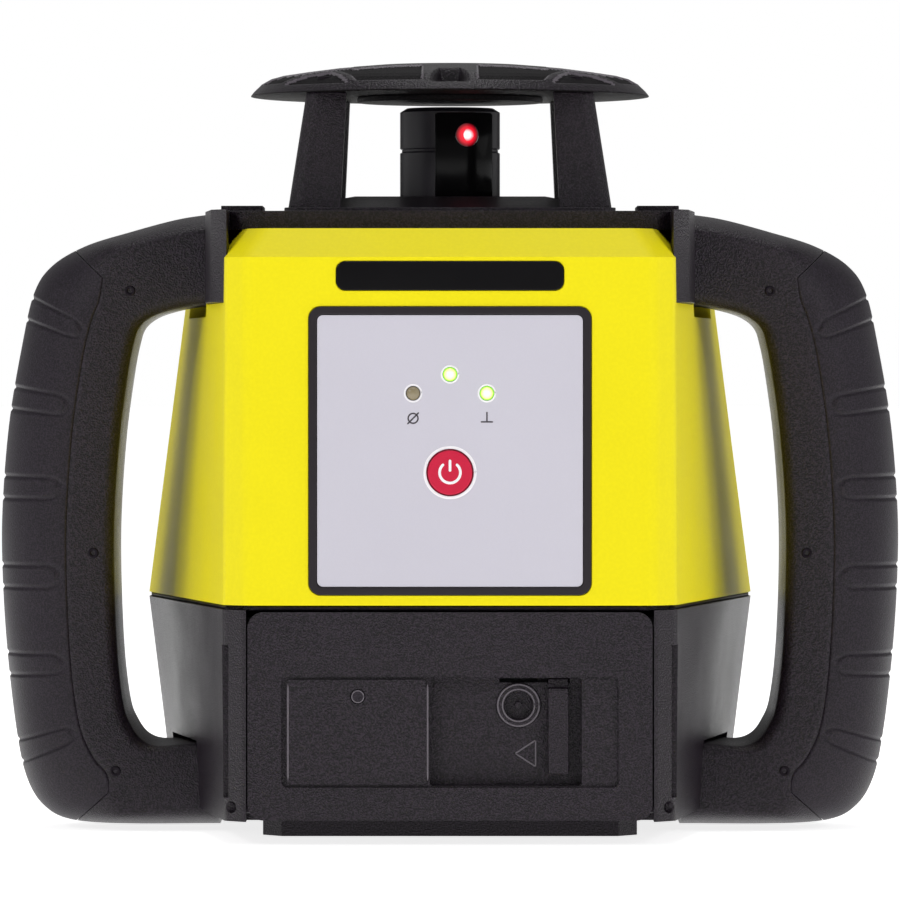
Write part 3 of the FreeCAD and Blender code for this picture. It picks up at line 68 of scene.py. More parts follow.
Place = tuple[float, float, float]          # X, Y and Z, or three sizes of a kind
Colour = tuple[float, float, float, float]  # linear red, green, blue and alpha


# ---------------------------------------------------------------- small tools

def linear(colour: str) -> Colour:
    """Turns an sRGB hex colour such as "#f5e623" to linear RGBA.

    Args:
        colour: six hex digits after a hash.

    Returns:
        The linear red, green and blue, and an alpha of 1.
    """
    parts = [int(colour[start:start + 2], 16) / 255 for start in (1, 3, 5)]
    values = [part / 12.92 if part <= 0.04045 else ((part + 0.055) / 1.055) ** 2.4
              for part in parts]
    return (values[0], values[1], values[2], 1.0)


def shade(colour: Colour, factor: float) -> Colour:
    """A linear colour made lighter or darker by a factor."""
    return (colour[0] * factor, colour[1] * factor, colour[2] * factor, 1.0)


def put(tree: NodeTree, kind: str, inputs: dict | None = None, **settings: object) -> Node:
    """Adds one node to a tree, with its settings and what feeds its inputs.

    Args:
        tree: the node tree.
        kind: the shader node's type, such as "Bump".
        inputs: input name or number to a value, or to the output socket that feeds it.
        settings: the node's own properties.

    Returns:
        The new node.
    """
    node = tree.nodes.new(f"ShaderNode{kind}")
    for name, value in settings.items():
        setattr(node, name, value)
    for name, value in (inputs or {}).items():
        if isinstance(value, NodeSocket):
            tree.links.new(value, node.inputs[name])
        else:
            node.inputs[name].default_value = value
    return node


def smooth_step(value: np.ndarray, edge: float | np.ndarray, width: float) -> np.ndarray:
    """Rises from 0 at an edge to 1 a width past it, as 3 t^2 - 2 t^3."""
    share = np.clip((value - edge) / width, 0, 1)
    return share * share * (3 - 2 * share)


def run_along(path: np.ndarray) -> np.ndarray:
    """The distance travelled along a path of N points, at each of them."""
    return np.concatenate([[0], np.cumsum(np.linalg.norm(np.diff(path, axis=0), axis=1))])


# ---------------------------------------------------------------- finishes

MIX_LOW, MIX_HIGH, MIX_OUT = 6, 7, 2              # a Mix node's colour sockets
NOISE_SPAN = {"From Min": 0.3, "From Max": 0.7}   # where nearly all of a noise's values lie
DRIFT_SCALE = 28.0    # clouds of about 36 mm, the reach of the melt's slow colour drift
GRAIN_SHARE = 0.45    # how much of the colour the grain decides, the clouds the rest
TIP_SPAN = {"From Min": 0.4, "From Max": 0.66}    # from the pits of a grain to its tips
PIT_SHADE, TIP_GLINT = 0.7, 4.0                    # painted shade in the pits and highlight on tips
GLOSS_DRIFT = 0.05
MARK_SHADES = (0.82, 1.12)   # the colour's strength in a machining mark and beside it
MARK_DRIFT = 0.08
LAMP_SPAN = (0.35, 0.95)     # shares of a lamp's radius: core's colour inside, rim's beyond
HAZE_SCALE = 220.0    # wipe marks about 5 mm apart
HAZE = 0.04


@dataclass(frozen=True)
class Finish:
    """What all finishes share: patterns that feed the sockets of one surface shader.

    Args:
        name: the material's name.
        colour: sRGB hex colour.
    """
    name: str
    colour: str

    def sockets(self, tree: NodeTree, place: NodeSocket) -> dict:
        """Adds the finish's patterns.

        Args:
            tree: the material's node tree.
            place: the object coordinates that every pattern reads.

        Returns:
            Shader input name to a value, or to the output socket that feeds it.
        """
        raise NotImplementedError

    def material(self) -> Material:
        """The finish's material, built the first time that it is asked for.

        Returns:
            The material.
        """
        made = bpy.data.materials.get(self.name)
        if made is None:
            made = bpy.data.materials.new(self.name)
            made.use_nodes = True
            tree = made.node_tree
            tree.nodes.clear()
            place = put(tree, "TexCoord").outputs["Object"]
            surface = put(tree, "BsdfPrincipled", self.sockets(tree, place))
            put(tree, "OutputMaterial", {"Surface": surface.outputs["BSDF"]})
        return made


@dataclass(frozen=True)
class Moulded(Finish):
    """Injection-moulded plastic or rubber: the etched mould leaves an even, fine grain.

    The grain breaks up the highlight, and the colour and gloss drift a little over the piece.

    Args:
        roughness: the middle roughness.
        grain: distance between the grains, in millimetres.
        relief: height of the grain, in millimetres.
        drift: how much the colour varies, as a share.
        coat: strength of a clear, glossy top layer.
        specular: the reflection's strength at normal incidence, 0.5 for an IOR of 1.5.
        grain_glint_and_shade: painted highlight on grain tips and shade in pits, from 0 to 1.
    """
    roughness: float = 0.5
    grain: float = 0.5
    relief: float = 0.02
    drift: float = 0.08
    coat: float = 0.0
    specular: float = 0.5
    grain_glint_and_shade: float = 0.0

    def sockets(self, tree: NodeTree, place: NodeSocket) -> dict:
        """Clouds drift colour and gloss; the grain embosses it, with painted glints and shade.

        Args:
            tree: the material's node tree.
            place: the object coordinates.

        Returns:
            Shader input names to what feeds them.
        """
        base = linear(self.colour)
        dark, light = 1 - self.drift, 1 + self.drift
        cloud = put(tree, "TexNoise",
                    {"Vector": place, "Scale": DRIFT_SCALE, "Detail": 3.0, "Roughness": 0.55})
        grains = put(tree, "TexNoise",
                     {"Vector": place, "Scale": 1.0 / (self.grain * MM), "Detail": 1.5,
                      "Roughness": 0.45})
        clouds = put(tree, "MapRange", {"Value": cloud.outputs["Fac"], **NOISE_SPAN})
        tint = put(tree, "Mix", {"Factor": clouds.outputs["Result"], MIX_LOW: shade(base, dark),
                                 MIX_HIGH: shade(base, light)}, data_type="RGBA")
        tips = put(tree, "MapRange", {"Value": grains.outputs["Fac"], **TIP_SPAN})
        # Painted highlight on the grain's tips and painted shade in its pits, read from the
        # bump's noise.
        pits, peaks = 1 - PIT_SHADE * self.grain_glint_and_shade, 1 + TIP_GLINT * self.grain_glint_and_shade
        glinted_grain = put(tree, "Mix", {"Factor": tips.outputs["Result"],
                                  MIX_LOW: shade(base, dark * pits),
                                  MIX_HIGH: shade(base, light * peaks)}, data_type="RGBA")
        mixed = put(tree, "Mix", {"Factor": GRAIN_SHARE, MIX_LOW: tint.outputs[MIX_OUT],
                                  MIX_HIGH: glinted_grain.outputs[MIX_OUT]}, data_type="RGBA")
        gloss = put(tree, "MapRange",
                    {"Value": cloud.outputs["Fac"], **NOISE_SPAN,
                     "To Min": self.roughness - GLOSS_DRIFT,
                     "To Max": self.roughness + GLOSS_DRIFT})
        bump = put(tree, "Bump", {"Height": grains.outputs["Fac"], "Strength": 1.0,
                                  "Distance": self.relief * MM})
        return {"Base Color": mixed.outputs[MIX_OUT], "Roughness": gloss.outputs["Result"],
                "Normal": bump.outputs["Normal"], "Specular IOR Level": self.specular,
                "Coat Weight": self.coat, "Coat Roughness": 0.12}


@dataclass(frozen=True)
class Metal(Finish):
    """A bare or plated metal: fine machining marks run along one axis and scatter the light.

    Args:
        roughness: the middle roughness.
        marks: distance between the machining marks, in millimetres.
        stretch: how the marks are drawn out along X, Y and Z.
    """
    roughness: float = 0.32
    marks: float = 0.35
    stretch: Place = (1.0, 1.0, 0.08)

    def sockets(self, tree: NodeTree, place: NodeSocket) -> dict:
        """Long marks vary the colour and the gloss, and emboss the surface a little.

        Args:
            tree: the material's node tree.
            place: the object coordinates.

        Returns:
            Shader input names to what feeds them.
        """
        base = linear(self.colour)
        drawn = put(tree, "Mapping", {"Vector": place, "Scale": self.stretch})
        lines = put(tree, "TexNoise",
                    {"Vector": drawn.outputs["Vector"], "Scale": 1.0 / (self.marks * MM),
                     "Detail": 2.0})
        marks = put(tree, "MapRange", {"Value": lines.outputs["Fac"], **NOISE_SPAN})
        dark, light = (shade(base, strength) for strength in MARK_SHADES)
        tint = put(tree, "Mix", {"Factor": marks.outputs["Result"], MIX_LOW: dark,
                                 MIX_HIGH: light}, data_type="RGBA")
        gloss = put(tree, "MapRange",
                    {"Value": lines.outputs["Fac"], "To Min": self.roughness - MARK_DRIFT,
                     "To Max": self.roughness + MARK_DRIFT})
        bump = put(tree, "Bump", {"Height": lines.outputs["Fac"], "Strength": 0.4,
                                  "Distance": 0.01 * MM})
        return {"Base Color": tint.outputs[MIX_OUT], "Metallic": 1.0,
                "Roughness": gloss.outputs["Result"], "Normal": bump.outputs["Normal"]}


@dataclass(frozen=True)
class Lamp(Finish):
    """A small moulded lens over a light source: bright in its middle, tinted at its rim.

    Args:
        core: sRGB hex colour of the middle; the finish's own colour is the rim's.
        glow: emission strength.
        centre: where the lamp's middle lies, in metres.
        radius: the lens's radius, in metres.
    """
    core: str
    glow: float
    centre: Place
    radius: float

    def sockets(self, tree: NodeTree, place: NodeSocket) -> dict:
        """The colour goes from the core's to the rim's with the distance from the centre.

        Args:
            tree: the material's node tree.
            place: the object coordinates.

        Returns:
            Shader input names to what feeds them.
        """
        offset = put(tree, "VectorMath", {0: place, 1: self.centre}, operation="SUBTRACT")
        reach = put(tree, "VectorMath", {0: offset.outputs["Vector"]}, operation="LENGTH")
        near, far = (share * self.radius for share in LAMP_SPAN)
        share = put(tree, "MapRange", {"Value": reach.outputs["Value"], "From Min": near,
                                       "From Max": far})
        tint = put(tree, "Mix",
                   {"Factor": share.outputs["Result"], MIX_LOW: linear(self.core),
                    MIX_HIGH: linear(self.colour)}, data_type="RGBA").outputs[MIX_OUT]
        return {"Base Color": tint, "Roughness": 0.12, "Emission Color": tint,
                "Emission Strength": self.glow, "Coat Weight": 0.6, "Coat Roughness": 0.05}


@dataclass(frozen=True)
class Clear(Finish):
    """Polished optical glass, smooth enough to mirror the lights, with a breath of haze.

    Args:
        roughness: surface roughness where it is cleanest.
        ior: index of refraction.
    """
    roughness: float = 0.03
    ior: float = 1.52

    def sockets(self, tree: NodeTree, place: NodeSocket) -> dict:
        """Haze roughens the glass here and there.

        Args:
            tree: the material's node tree.
            place: the object coordinates.

        Returns:
            Shader input names to what feeds them.
        """
        haze = put(tree, "TexNoise", {"Vector": place, "Scale": HAZE_SCALE, "Detail": 2.0})
        gloss = put(tree, "MapRange", {"Value": haze.outputs["Fac"], "To Min": self.roughness,
                                       "To Max": self.roughness + HAZE})
        return {"Base Color": linear(self.colour), "Roughness": gloss.outputs["Result"],
                "Transmission Weight": 1.0, "IOR": self.ior}


@dataclass(frozen=True)
class Paper(Finish):
    """Matt white paper under strong light: hardly a shadow, and the faintest of clouds.

    Args:
        shadow: sRGB hex colour of the darker clouds.
        glow: how much of the light it gives back by itself.
    """
    shadow: str
    glow: float

    def sockets(self, tree: NodeTree, place: NodeSocket) -> dict:
        """Half-metre clouds blend between the two whites.

        Args:
            tree: the material's node tree.
            place: the object coordinates.

        Returns:
            Shader input names to what feeds them.
        """
        cloud = put(tree, "TexNoise", {"Vector": place, "Scale": 2.0})
        tint = put(tree, "Mix",
                   {"Factor": cloud.outputs["Fac"], MIX_LOW: linear(self.shadow),
                    MIX_HIGH: linear(self.colour)}, data_type="RGBA").outputs[MIX_OUT]
        return {"Base Color": tint, "Roughness": 0.8, "Emission Color": tint,
                "Emission Strength": self.glow}


# Real mould grain is 0.05 to 0.2 mm apart, too fine to show from two metres away, so each
# grain is drawn several times coarser, and 0.1 mm machining marks are drawn 0.35 mm apart.

# ABS from a softly etched mould: a clean, even yellow with a broad satin sheen.
YELLOW_ABS = Moulded("moulded_yellow_abs", "#f1e200", roughness=0.48, grain=0.9, relief=0.012,
                     drift=0.03, specular=0.22)
# ABS from a coarse spark-eroded mould: painted glints on the grain's tips turn the black dark
# grey.
BLACK_CASE = Moulded("moulded_black_abs", "#151016", roughness=0.33, grain=0.42, relief=0.24,
                     drift=0.3, specular=0.28, grain_glint_and_shade=1.0)
# Soft elastomer moulded over a hard shell: a blunter grain and a duller, smoother black.
BLACK_RUBBER = Moulded("moulded_black_elastomer", "#1c171e", roughness=0.44, grain=0.4,
                       relief=0.1, drift=0.2, specular=0.24, grain_glint_and_shade=0.5)
# ABS from a satin mould: sheen and painted grain glints make the dome grey beside darker panels.
SATIN_BLACK = Moulded("moulded_satin_black", "#151116", roughness=0.32, relief=0.26,
                      drift=0.15, specular=0.3, grain_glint_and_shade=1.0)
# Deeply spark-eroded panel: its pits trap the light, so it stays the darkest black.
PANEL_BLACK = Moulded("spark_eroded_black_panel", "#0a080a", roughness=0.6, relief=0.26,
                      drift=0.3, specular=0.1, grain_glint_and_shade=1.0)
# Painted highlight along edges and steps: a thin, pale line that catches the lamps.
PAINTED_HIGHLIGHT = Moulded("painted_highlight_bead", "#5a545b", roughness=0.24, relief=0.01, drift=0.1)
# Polycarbonate from a polished mould: a deep black that mirrors the lamps.
BLACK_GLOSS = Moulded("polished_black_polycarbonate", "#0c0b0d", roughness=0.16, grain=1.5,
                      relief=0.002, drift=0.05, specular=0.12)
# Aluminium anodised black: silky and even, a shade lighter than the plastic round it.
HEAD_BLACK = Moulded("anodised_black_head", "#2a272d", roughness=0.38, grain=0.3, drift=0.06,
                     specular=0.3)
# Border printed behind a clear film: flat black under a smooth surface.
FRAME_BLACK = Moulded("printed_black_border", "#1f191f", roughness=0.34, grain=0.8,
                      relief=0.006, specular=0.3, drift=0.05)
# Polyester film printed on its back: a cool, even grey with hardly any texture.
OVERLAY_GREY = Moulded("screen_printed_polyester", "#cac7d2", roughness=0.45, grain=0.35,
                       relief=0.004, drift=0.015, specular=0.3)
# Ink pushed through a screen: opaque and matt, with a crisp edge.
WHITE_INK = Moulded("screen_printed_white", "#f4f2f6", relief=0.004, drift=0.02)
GREY_INK = Moulded("screen_printed_charcoal", "#3b353d", relief=0.004, drift=0.02)
# Silicone rubber from a fine mould: a soft, saturated red with little shine.
BUTTON_RED = Moulded("moulded_red_silicone", "#c9133c", roughness=0.4, relief=0.006,
                     drift=0.04, specular=0.3)
# Clear lens over an unlit lamp: a dull amber grey with one sharp highlight.
UNLIT_LENS = Moulded("smoked_lamp_lens", "#8b7f62", roughness=0.18, grain=1.0, relief=0.003,
                     drift=0.05, coat=0.5)
# Uncoloured nylon: a milky, slightly waxy off-white.
NYLON = Moulded("moulded_natural_nylon", "#d9d6cb", roughness=0.4, grain=0.8, relief=0.01,
                drift=0.04)
# Solder mask over woven glass board: deep green under a wet-looking film.
BOARD = Moulded("solder_mask_green", "#1f5a34", roughness=0.3, grain=1.2, drift=0.12, coat=0.4)
# Shrunk plastic sleeve: tight and glossy, so that highlights run straight along the cell.
CELL_WRAP = Moulded("printed_cell_sleeve", "#2b3038", roughness=0.28, grain=1.5, relief=0.005,
                    drift=0.06, coat=0.5)
# Pressed and sintered magnet: a dull charcoal with a powdery grain.
FERRITE = Moulded("sintered_magnet", "#3a3a3d", roughness=0.55, grain=0.3)
# Steel blackened in hot salts: nearly black, with a low, oily gleam.
BLACK_OXIDE = Metal("black_oxide_steel", "#242025", roughness=0.42)
# Zinc-plated steel: a bright, cool grey, drawn out along the turning marks.
STEEL = Metal("zinc_plated_steel", "#a9abae")
# Aluminium milled and clear anodised: pale and silky.
ALUMINIUM = Metal("clear_anodised_aluminium", "#c6c8cb", roughness=0.38)
# Brass from the lathe: warm yellow with a fairly sharp highlight.
BRASS = Metal("turned_brass", "#c9a35a", roughness=0.28)
# Enamelled copper wire laid in turns: a reddish brown with a rib for every wire.
COPPER = Metal("enamelled_copper_wire", "#9a4b22", roughness=0.3, marks=0.5,
               stretch=(1.0, 1.0, 8.0))
# Optically polished glass: clear, with sharp reflections on its flat faces.
PRISM_GLASS = Clear("polished_prism_glass", "#eef4f6")


# ---------------------------------------------------------------- mesh tools

def mesh_piece(name: str, points: np.ndarray, faces: np.ndarray, finish: Finish,
               body: str) -> Object:
    """Makes a closed piece from whole arrays and lets it ride on a body.

    The enclosed volume is the sum over the faces of corner . (corner x corner) / 6; where it
    comes out negative the faces point inwards, and they are turned round.

    Args:
        name: the piece's name.
        points: N x 3 array of places in metres.
        faces: M x 4 array of corner numbers; a triangle repeats its last corner.
        finish: its finish.
        body: the body that it moves with.

    Returns:
        The new object.
    """
    first, second, third, fourth = (points[faces[:, corner]] for corner in range(4))
    volume = np.sum(first * np.cross(second, third)) + np.sum(first * np.cross(third, fourth))
    if volume < 0:
        faces = faces[:, ::-1]
    kept = faces != np.roll(faces, 1, axis=1)        # drops a triangle's repeated corner
    corners, counts = faces[kept], kept.sum(axis=1)
    mesh = bpy.data.meshes.new(name)
    mesh.vertices.add(len(points))
    mesh.vertices.foreach_set("co", points.astype(np.float32).ravel())
    mesh.loops.add(len(corners))
    mesh.loops.foreach_set("vertex_index", corners.astype(np.int32))
    mesh.polygons.add(len(faces))
    mesh.polygons.foreach_set("loop_start", (np.cumsum(counts) - counts).astype(np.int32))
    mesh.polygons.foreach_set("use_smooth", np.ones(len(faces), dtype=bool))
    mesh.update(calc_edges=True)
    mesh.materials.append(finish.material())
    piece = bpy.data.objects.new(name, mesh)
    bpy.context.scene.collection.objects.link(piece)
    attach(piece, body)
    log.info("%s: %s, on %s", name, finish.name, body)
    return piece


def section_piece(name: str, points: np.ndarray, finish: Finish, body: str) -> Object:
    """Makes a piece from closed sections, with a fan to the middle of the first and last one.

    Args:
        name: the piece's name.
        points: sections x points x 3 array of places in metres.
        finish: its finish.
        body: the body that it moves with.

    Returns:
        The new object.
    """
    rows, columns = points.shape[:2]
    ends = np.stack([points[0].mean(axis=0), points[-1].mean(axis=0)])
    ring = np.arange(columns)
    after = (ring + 1) % columns
    middle, last = rows * columns, (rows - 1) * columns
    start = np.arange(rows - 1)[:, None] * columns
    quads = np.stack([start + ring, start + after, start + columns + after,
                      start + columns + ring], axis=-1).reshape(-1, 4)
    fans = [np.stack([np.full(columns, middle), after, ring, ring], axis=1),
            np.stack([np.full(columns, middle + 1), last + ring, last + after, last + after],
                     axis=1)]
    return mesh_piece(name, np.concatenate([points.reshape(-1, 3), ends]),
                      np.concatenate([quads, *fans]), finish, body)


def turned(name: str, profile: list[Pair], centre: Place, finish: Finish, body: str,
           count: int = 48) -> Object:
    """Turns a profile round an axis to the front: (radius * cos, -height, radius * sin).

    Args:
        name: the piece's name.
        profile: (radius, height) points in millimetres, from one pole to the other.
        centre: where height 0 lies on the axis, in metres.
        finish: its finish.
        body: the body that it moves with.
        count: number of points round the axis.

    Returns:
        The new object.
    """
    radius, height = (np.array(column)[:, None] * MM for column in zip(*profile))
    angle = np.linspace(0, 2 * math.pi, count, endpoint=False)[None, :]
    across, up = radius * np.cos(angle), radius * np.sin(angle)
    depth = np.broadcast_to(-height, across.shape)
    return section_piece(name, np.stack([across, depth, up], axis=-1) + np.array(centre),
                         finish, body)


def stroke(name: str, path: np.ndarray, width: float, face: float, height: float,
           finish: Finish, body: str) -> Object:
    """A raised line on an upright front face, with rounded ends.

    Each section is a low hill across the path; near an end at distance s its width is
    sqrt(1 - (1 - s)^2) of the full one, s counted in half widths.

    Args:
        name: the piece's name.
        path: N x 2 array of places across and up, in millimetres.
        width: the line's width in millimetres.
        face: where the face lies along Y, in metres.
        height: how far the line stands out, in millimetres.
        finish: its finish.
        body: the body that it moves with.

    Returns:
        The new object.
    """
    foot, shoulder, tip = -0.3, height * 0.7, 0.02
    way = np.gradient(path, axis=0)
    way = way / np.linalg.norm(way, axis=1)[:, None]
    run = run_along(path)
    near = np.clip(np.minimum(run, run[-1] - run) / (width / 2), tip, 1)
    taper = np.sqrt(1 - (1 - near) ** 2)
    across = np.array([-0.5, -0.46, -0.3, 0.3, 0.46, 0.5])[None, :] * width * taper[:, None]
    rise = np.array([foot, shoulder, height, height, shoulder, foot])[None, :]
    aside = np.stack([-way[:, 1], way[:, 0]], axis=1)[:, None, :]
    flat = path[:, None, :] + across[:, :, None] * aside
    depth = np.broadcast_to(face - rise * MM, across.shape)
    points = np.stack([flat[..., 0] * MM, depth, flat[..., 1] * MM], axis=-1)
    return section_piece(name, points, finish, body)


def arc(centre: Pair, radius: float, start: float, end: float, count: int) -> np.ndarray:
    """Places along an arc, in millimetres; angles are in degrees from the +X direction."""
    angle = np.radians(np.linspace(start, end, count))
    return np.stack([centre[0] + radius * np.cos(angle), centre[1] + radius * np.sin(angle)], 1)


def ring(centre: Pair, radius: float, overlap: float, count: int) -> np.ndarray:
    """A whole circle and some degrees more, so that a stroke's tapered ends hide each other."""
    return arc(centre, radius, 0, 360 + overlap, count)


def line(start: Pair, end: Pair, count: int = 24) -> np.ndarray:
    """Places along a straight line, in millimetres."""
    return np.linspace(np.array(start, float), np.array(end, float), count)


def flowing(points: list[Pair], places: np.ndarray) -> np.ndarray:
    """A smooth curve through points: each span is a cubic whose end slopes look one point back
    and one point on, so that spans meet without a kink.

    Args:
        points: the points, in millimetres.
        places: where to read the curve, from 0 at the first point to 1 at the last.

    Returns:
        An N x 2 array of places on the curve.
    """
    spots = np.array(points, float)
    spots = np.vstack([2 * spots[0] - spots[1], spots, 2 * spots[-1] - spots[-2]])
    spans = len(points) - 1
    along = np.clip(places * spans, 0, spans - 1e-9)
    span = along.astype(int)
    share = (along - span)[:, None]
    before, start, end, after = (spots[span + step] for step in range(4))
    return 0.5 * (2 * start + (end - before) * share
                  + (2 * before - 5 * start + 4 * end - after) * share ** 2
                  + (3 * start - before - 3 * end + after) * share ** 3)


# ---------------------------------------------------------------- handles

class Side(Enum):
    """Which side of the casing a handle is on."""
    RIGHT = 1
    LEFT = -1


@dataclass(frozen=True)
class Course:
    """The sections along a handle, one row of each array for a section, in millimetres."""
    outer: np.ndarray             # places on the outer outline
    inner: np.ndarray             # places on the inner outline
    thick: np.ndarray             # from the one to the other
    flat: np.ndarray              # width of the flat front
    soft: np.ndarray              # 0 on the arms, rising to 1 along the hand grip


@dataclass
class Handle:
    """A side handle: a hard shell with a soft grip moulded over its outer side.

    The two outlines are places across and up, from the upper root round to the lower one.
    Sizes are in millimetres.
    """
    side: Side
    outer: list[Pair] = field(default_factory=lambda: [
        (61, 163.0), (72, 161.4), (85.2, 157.9), (97.0, 154.2), (105.8, 149.0), (110.6, 141.8),
        (113.8, 128.0), (117.3, 107), (119.1, 84), (119.0, 66), (117.7, 46), (115.3, 25.5),
        (112.6, 13.0), (108.0, 5.5), (100.5, 1.8), (85, 0.9), (61, 0.9)])
    inner: list[Pair] = field(default_factory=lambda: [
        (61, 138.7), (67.5, 138.2), (73.5, 137.0), (78.5, 135.2), (81.8, 132.4), (83.3, 128.0),
        (84.8, 120), (86.9, 104), (88.3, 84), (88.4, 66), (87.5, 46), (85.9, 33), (84.0, 27.8),
        (81.2, 24.0), (77.0, 22.4), (70, 22.9), (61, 23.4)])
    flat: float = 9.8             # width of the flat front beside the opening
    shoulder: float = 5.5         # what the flat leaves of an arm's width
    arm_end: float = 88.0         # how far across the arms go before the flat narrows
    bend: float = 20.0            # how far across it goes on narrowing
    edge: float = 3.2             # rounding of the edges at the opening
    edge_turns: int = 7
    fullness: float = 2.3         # 2 is an ellipse, more is squarer
    skin: float = 1.3             # thickness of the grip
    overlap: float = 0.3          # how far the grip reaches into the shell
    grip_from: float = 0.6        # where the grip starts, as a share of the turn into the arms
    trim: int = 3                 # points of the curve that the grip leaves free on each side
    mark_half: float = 2.9        # half height of a grip mark
    mark_reach: float = 0.78      # how far the marks run round, 1 being the flat front
    mark_round: float = 26.0      # distance round the section for one more unit of that reach
    mark_edge: float = 0.75       # half width of the groove round a grip mark
    mark_depth: float = 0.5       # depth of that groove
    marks_from: float = 100.0     # how far across the marks begin
    marks: tuple[float, ...] = (137.6, 114.0, 90.4, 66.9, 43.6, 20.3)
    screws: tuple[Pair, ...] = ((84.1, 142.1), (93.8, 73.2), (88.0, 15.8))
    rows: int = 760
    turns: int = 72
    grip_turns: int = 100

    def course(self) -> Course:
        """Reads both outlines at even distances along the outer one.

        The flat front takes the whole width of the arms and narrows to a band along the grip.

        Returns:
            The handle's sections.
        """
        fine = np.linspace(0, 1, 2400)
        run = run_along(flowing(self.outer, fine))
        places = np.interp(np.linspace(0, run[-1], self.rows), run, fine)
        outer, inner = flowing(self.outer, places), flowing(self.inner, places)
        thick = np.linalg.norm(outer - inner, axis=1)
        soft = smooth_step(outer[:, 0], self.arm_end, self.bend)
        wide = thick - self.shoulder
        flat = wide + (np.minimum(self.flat, wide) - wide) * soft
        return Course(outer, inner, thick, flat, soft)

    def depths(self) -> Pair:
        """The handle's front and back, in millimetres, read from the frame."""
        low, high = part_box("handle_right_front")[0].y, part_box("handle_right_rear")[1].y
        return low / MM, high / MM

    def arch(self, course: Course, inset: float, turns: int) -> np.ndarray:
        """The rounded outer side of each section: |across|^n + |depth|^n = 1 past the flat.

        Args:
            course: the handle's sections.
            inset: how far the curve is set in.
            turns: number of points round the curve, front to back.

        Returns:
            sections x points x 2 array: distances from the opening, and places along Y.
        """
        low, high = self.depths()
        middle, half = (low + high) / 2, (high - low) / 2 - inset
        angle = np.linspace(-math.pi / 2, math.pi / 2, turns)[None, :]
        power = 2 / self.fullness
        bulge = (course.thick - course.flat - inset)[:, None] * np.abs(np.cos(angle)) ** power
        depth = middle + half * np.sign(np.sin(angle)) * np.abs(np.sin(angle)) ** power
        return np.stack([course.flat[:, None] + bulge, np.broadcast_to(depth, bulge.shape)],
                        axis=-1)

    def place(self, course: Course, sections: np.ndarray) -> np.ndarray:
        """Carries sections along the handle: inner outline + across * direction to the outer.

        Args:
            course: the handle's sections.
            sections: sections x points x 2 array, as from arch.

        Returns:
            sections x points x 3 array of places in metres.
        """
        way = (course.outer - course.inner) / course.thick[:, None]
        flat = course.inner[:, None, :] + sections[..., :1] * way[:, None, :]
        return np.stack([flat[..., 0] * self.side.value, sections[..., 1], flat[..., 1]],
                        axis=-1) * MM

    def shell_points(self, course: Course) -> np.ndarray:
        """The hard shell: the arch, set in under the grip, and two rounded inner edges.

        Args:
            course: the handle's sections.

        Returns:
            sections x points x 3 array of places in metres.
        """
        low, high = self.depths()
        inside = np.arange(self.turns)
        covered = ((course.soft > self.grip_from)[:, None]
                   & (inside >= self.trim) & (inside < self.turns - self.trim))
        arch = np.where(covered[..., None], self.arch(course, self.skin, self.turns),
                        self.arch(course, 0.0, self.turns))
        turn = np.linspace(0, math.pi / 2, self.edge_turns)
        across, back = self.edge * (1 - np.cos(turn)), self.edge * (1 - np.sin(turn))
        edges = np.concatenate([np.stack([across, high - back], axis=1)[::-1],
                                np.stack([across, low + back], axis=1)])
        edges = np.broadcast_to(edges, (self.rows, *edges.shape))
        return self.place(course, np.concatenate([arch, edges], axis=1))

    def grip_points(self, course: Course) -> np.ndarray:
        """The soft grip: the arch with grooves sunk along its normal, and its inner side.

        Args:
            course: the handle's sections.

        Returns:
            sections x points x 3 array of places in metres.
        """
        turn = np.linspace(-1, 1, self.grip_turns)[None, :]
        groove = self.mark_depth * self.mark_shape(course.outer, turn)
        normal = np.stack([np.cos(turn * math.pi / 2), np.sin(turn * math.pi / 2)], axis=-1)
        top = self.arch(course, 0.0, self.grip_turns) - groove[..., None] * normal
        under = self.arch(course, self.skin + self.overlap, self.grip_turns)
        free = slice(self.trim, self.grip_turns - self.trim)
        sections = np.concatenate([top[:, free], under[:, free][:, ::-1]], axis=1)
        rows = np.flatnonzero(course.soft > self.grip_from)
        return self.place(course, sections)[rows[0]:rows[-1] + 1]

    def mark_shape(self, outer: np.ndarray, turn: np.ndarray) -> np.ndarray:
        """Depth, from 0 to 1, of the grooves that outline bars round the grip's outer side.

        A groove lies where the distance from a bar's middle line is half the bar's height.

        Args:
            outer: the outer outline.
            turn: places round the section, -1 at the front and 1 at the back.

        Returns:
            sections x points array.
        """
        reach = np.clip(np.abs(turn) - self.mark_reach, 0, None) * self.mark_round
        gap = np.hypot(outer[:, 1, None, None] - np.array(self.marks), reach[..., None])
        depth = np.clip(1 - np.abs(gap - self.mark_half) / self.mark_edge, 0, 1).max(axis=-1)
        return np.where(outer[:, :1] > self.marks_from, depth, 0)

    def build(self) -> None:
        """Builds the shell and the grip in place of the frame's own, and adds the screws."""
        side = self.side.name.lower()
        course = self.course()
        shell = section_piece(f"handle_shell_{side}", self.shell_points(course), BLACK_CASE,
                              "housing")
        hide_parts(f"handle_{side}_front", f"handle_{side}_rear")
        grip = section_piece(f"hand_grip_{side}", self.grip_points(course), BLACK_RUBBER,
                             "housing")
        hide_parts(f"grip_{side}")
        head = [(0.1, -0.1), (0.55, -0.1), (0.6, 0.12), (1.15, 0.12), (1.4, 0.0), (1.4, -0.6),
                (0.1, -0.6)]
        front = self.depths()[0] * MM
        for number, (x, z) in enumerate(self.screws):
            piece = turned(f"handle_screw_{side}_{number}", head,
                           (x * MM * self.side.value, front, z * MM), BLACK_OXIDE, "housing", 32)


# ---------------------------------------------------------------- keypad

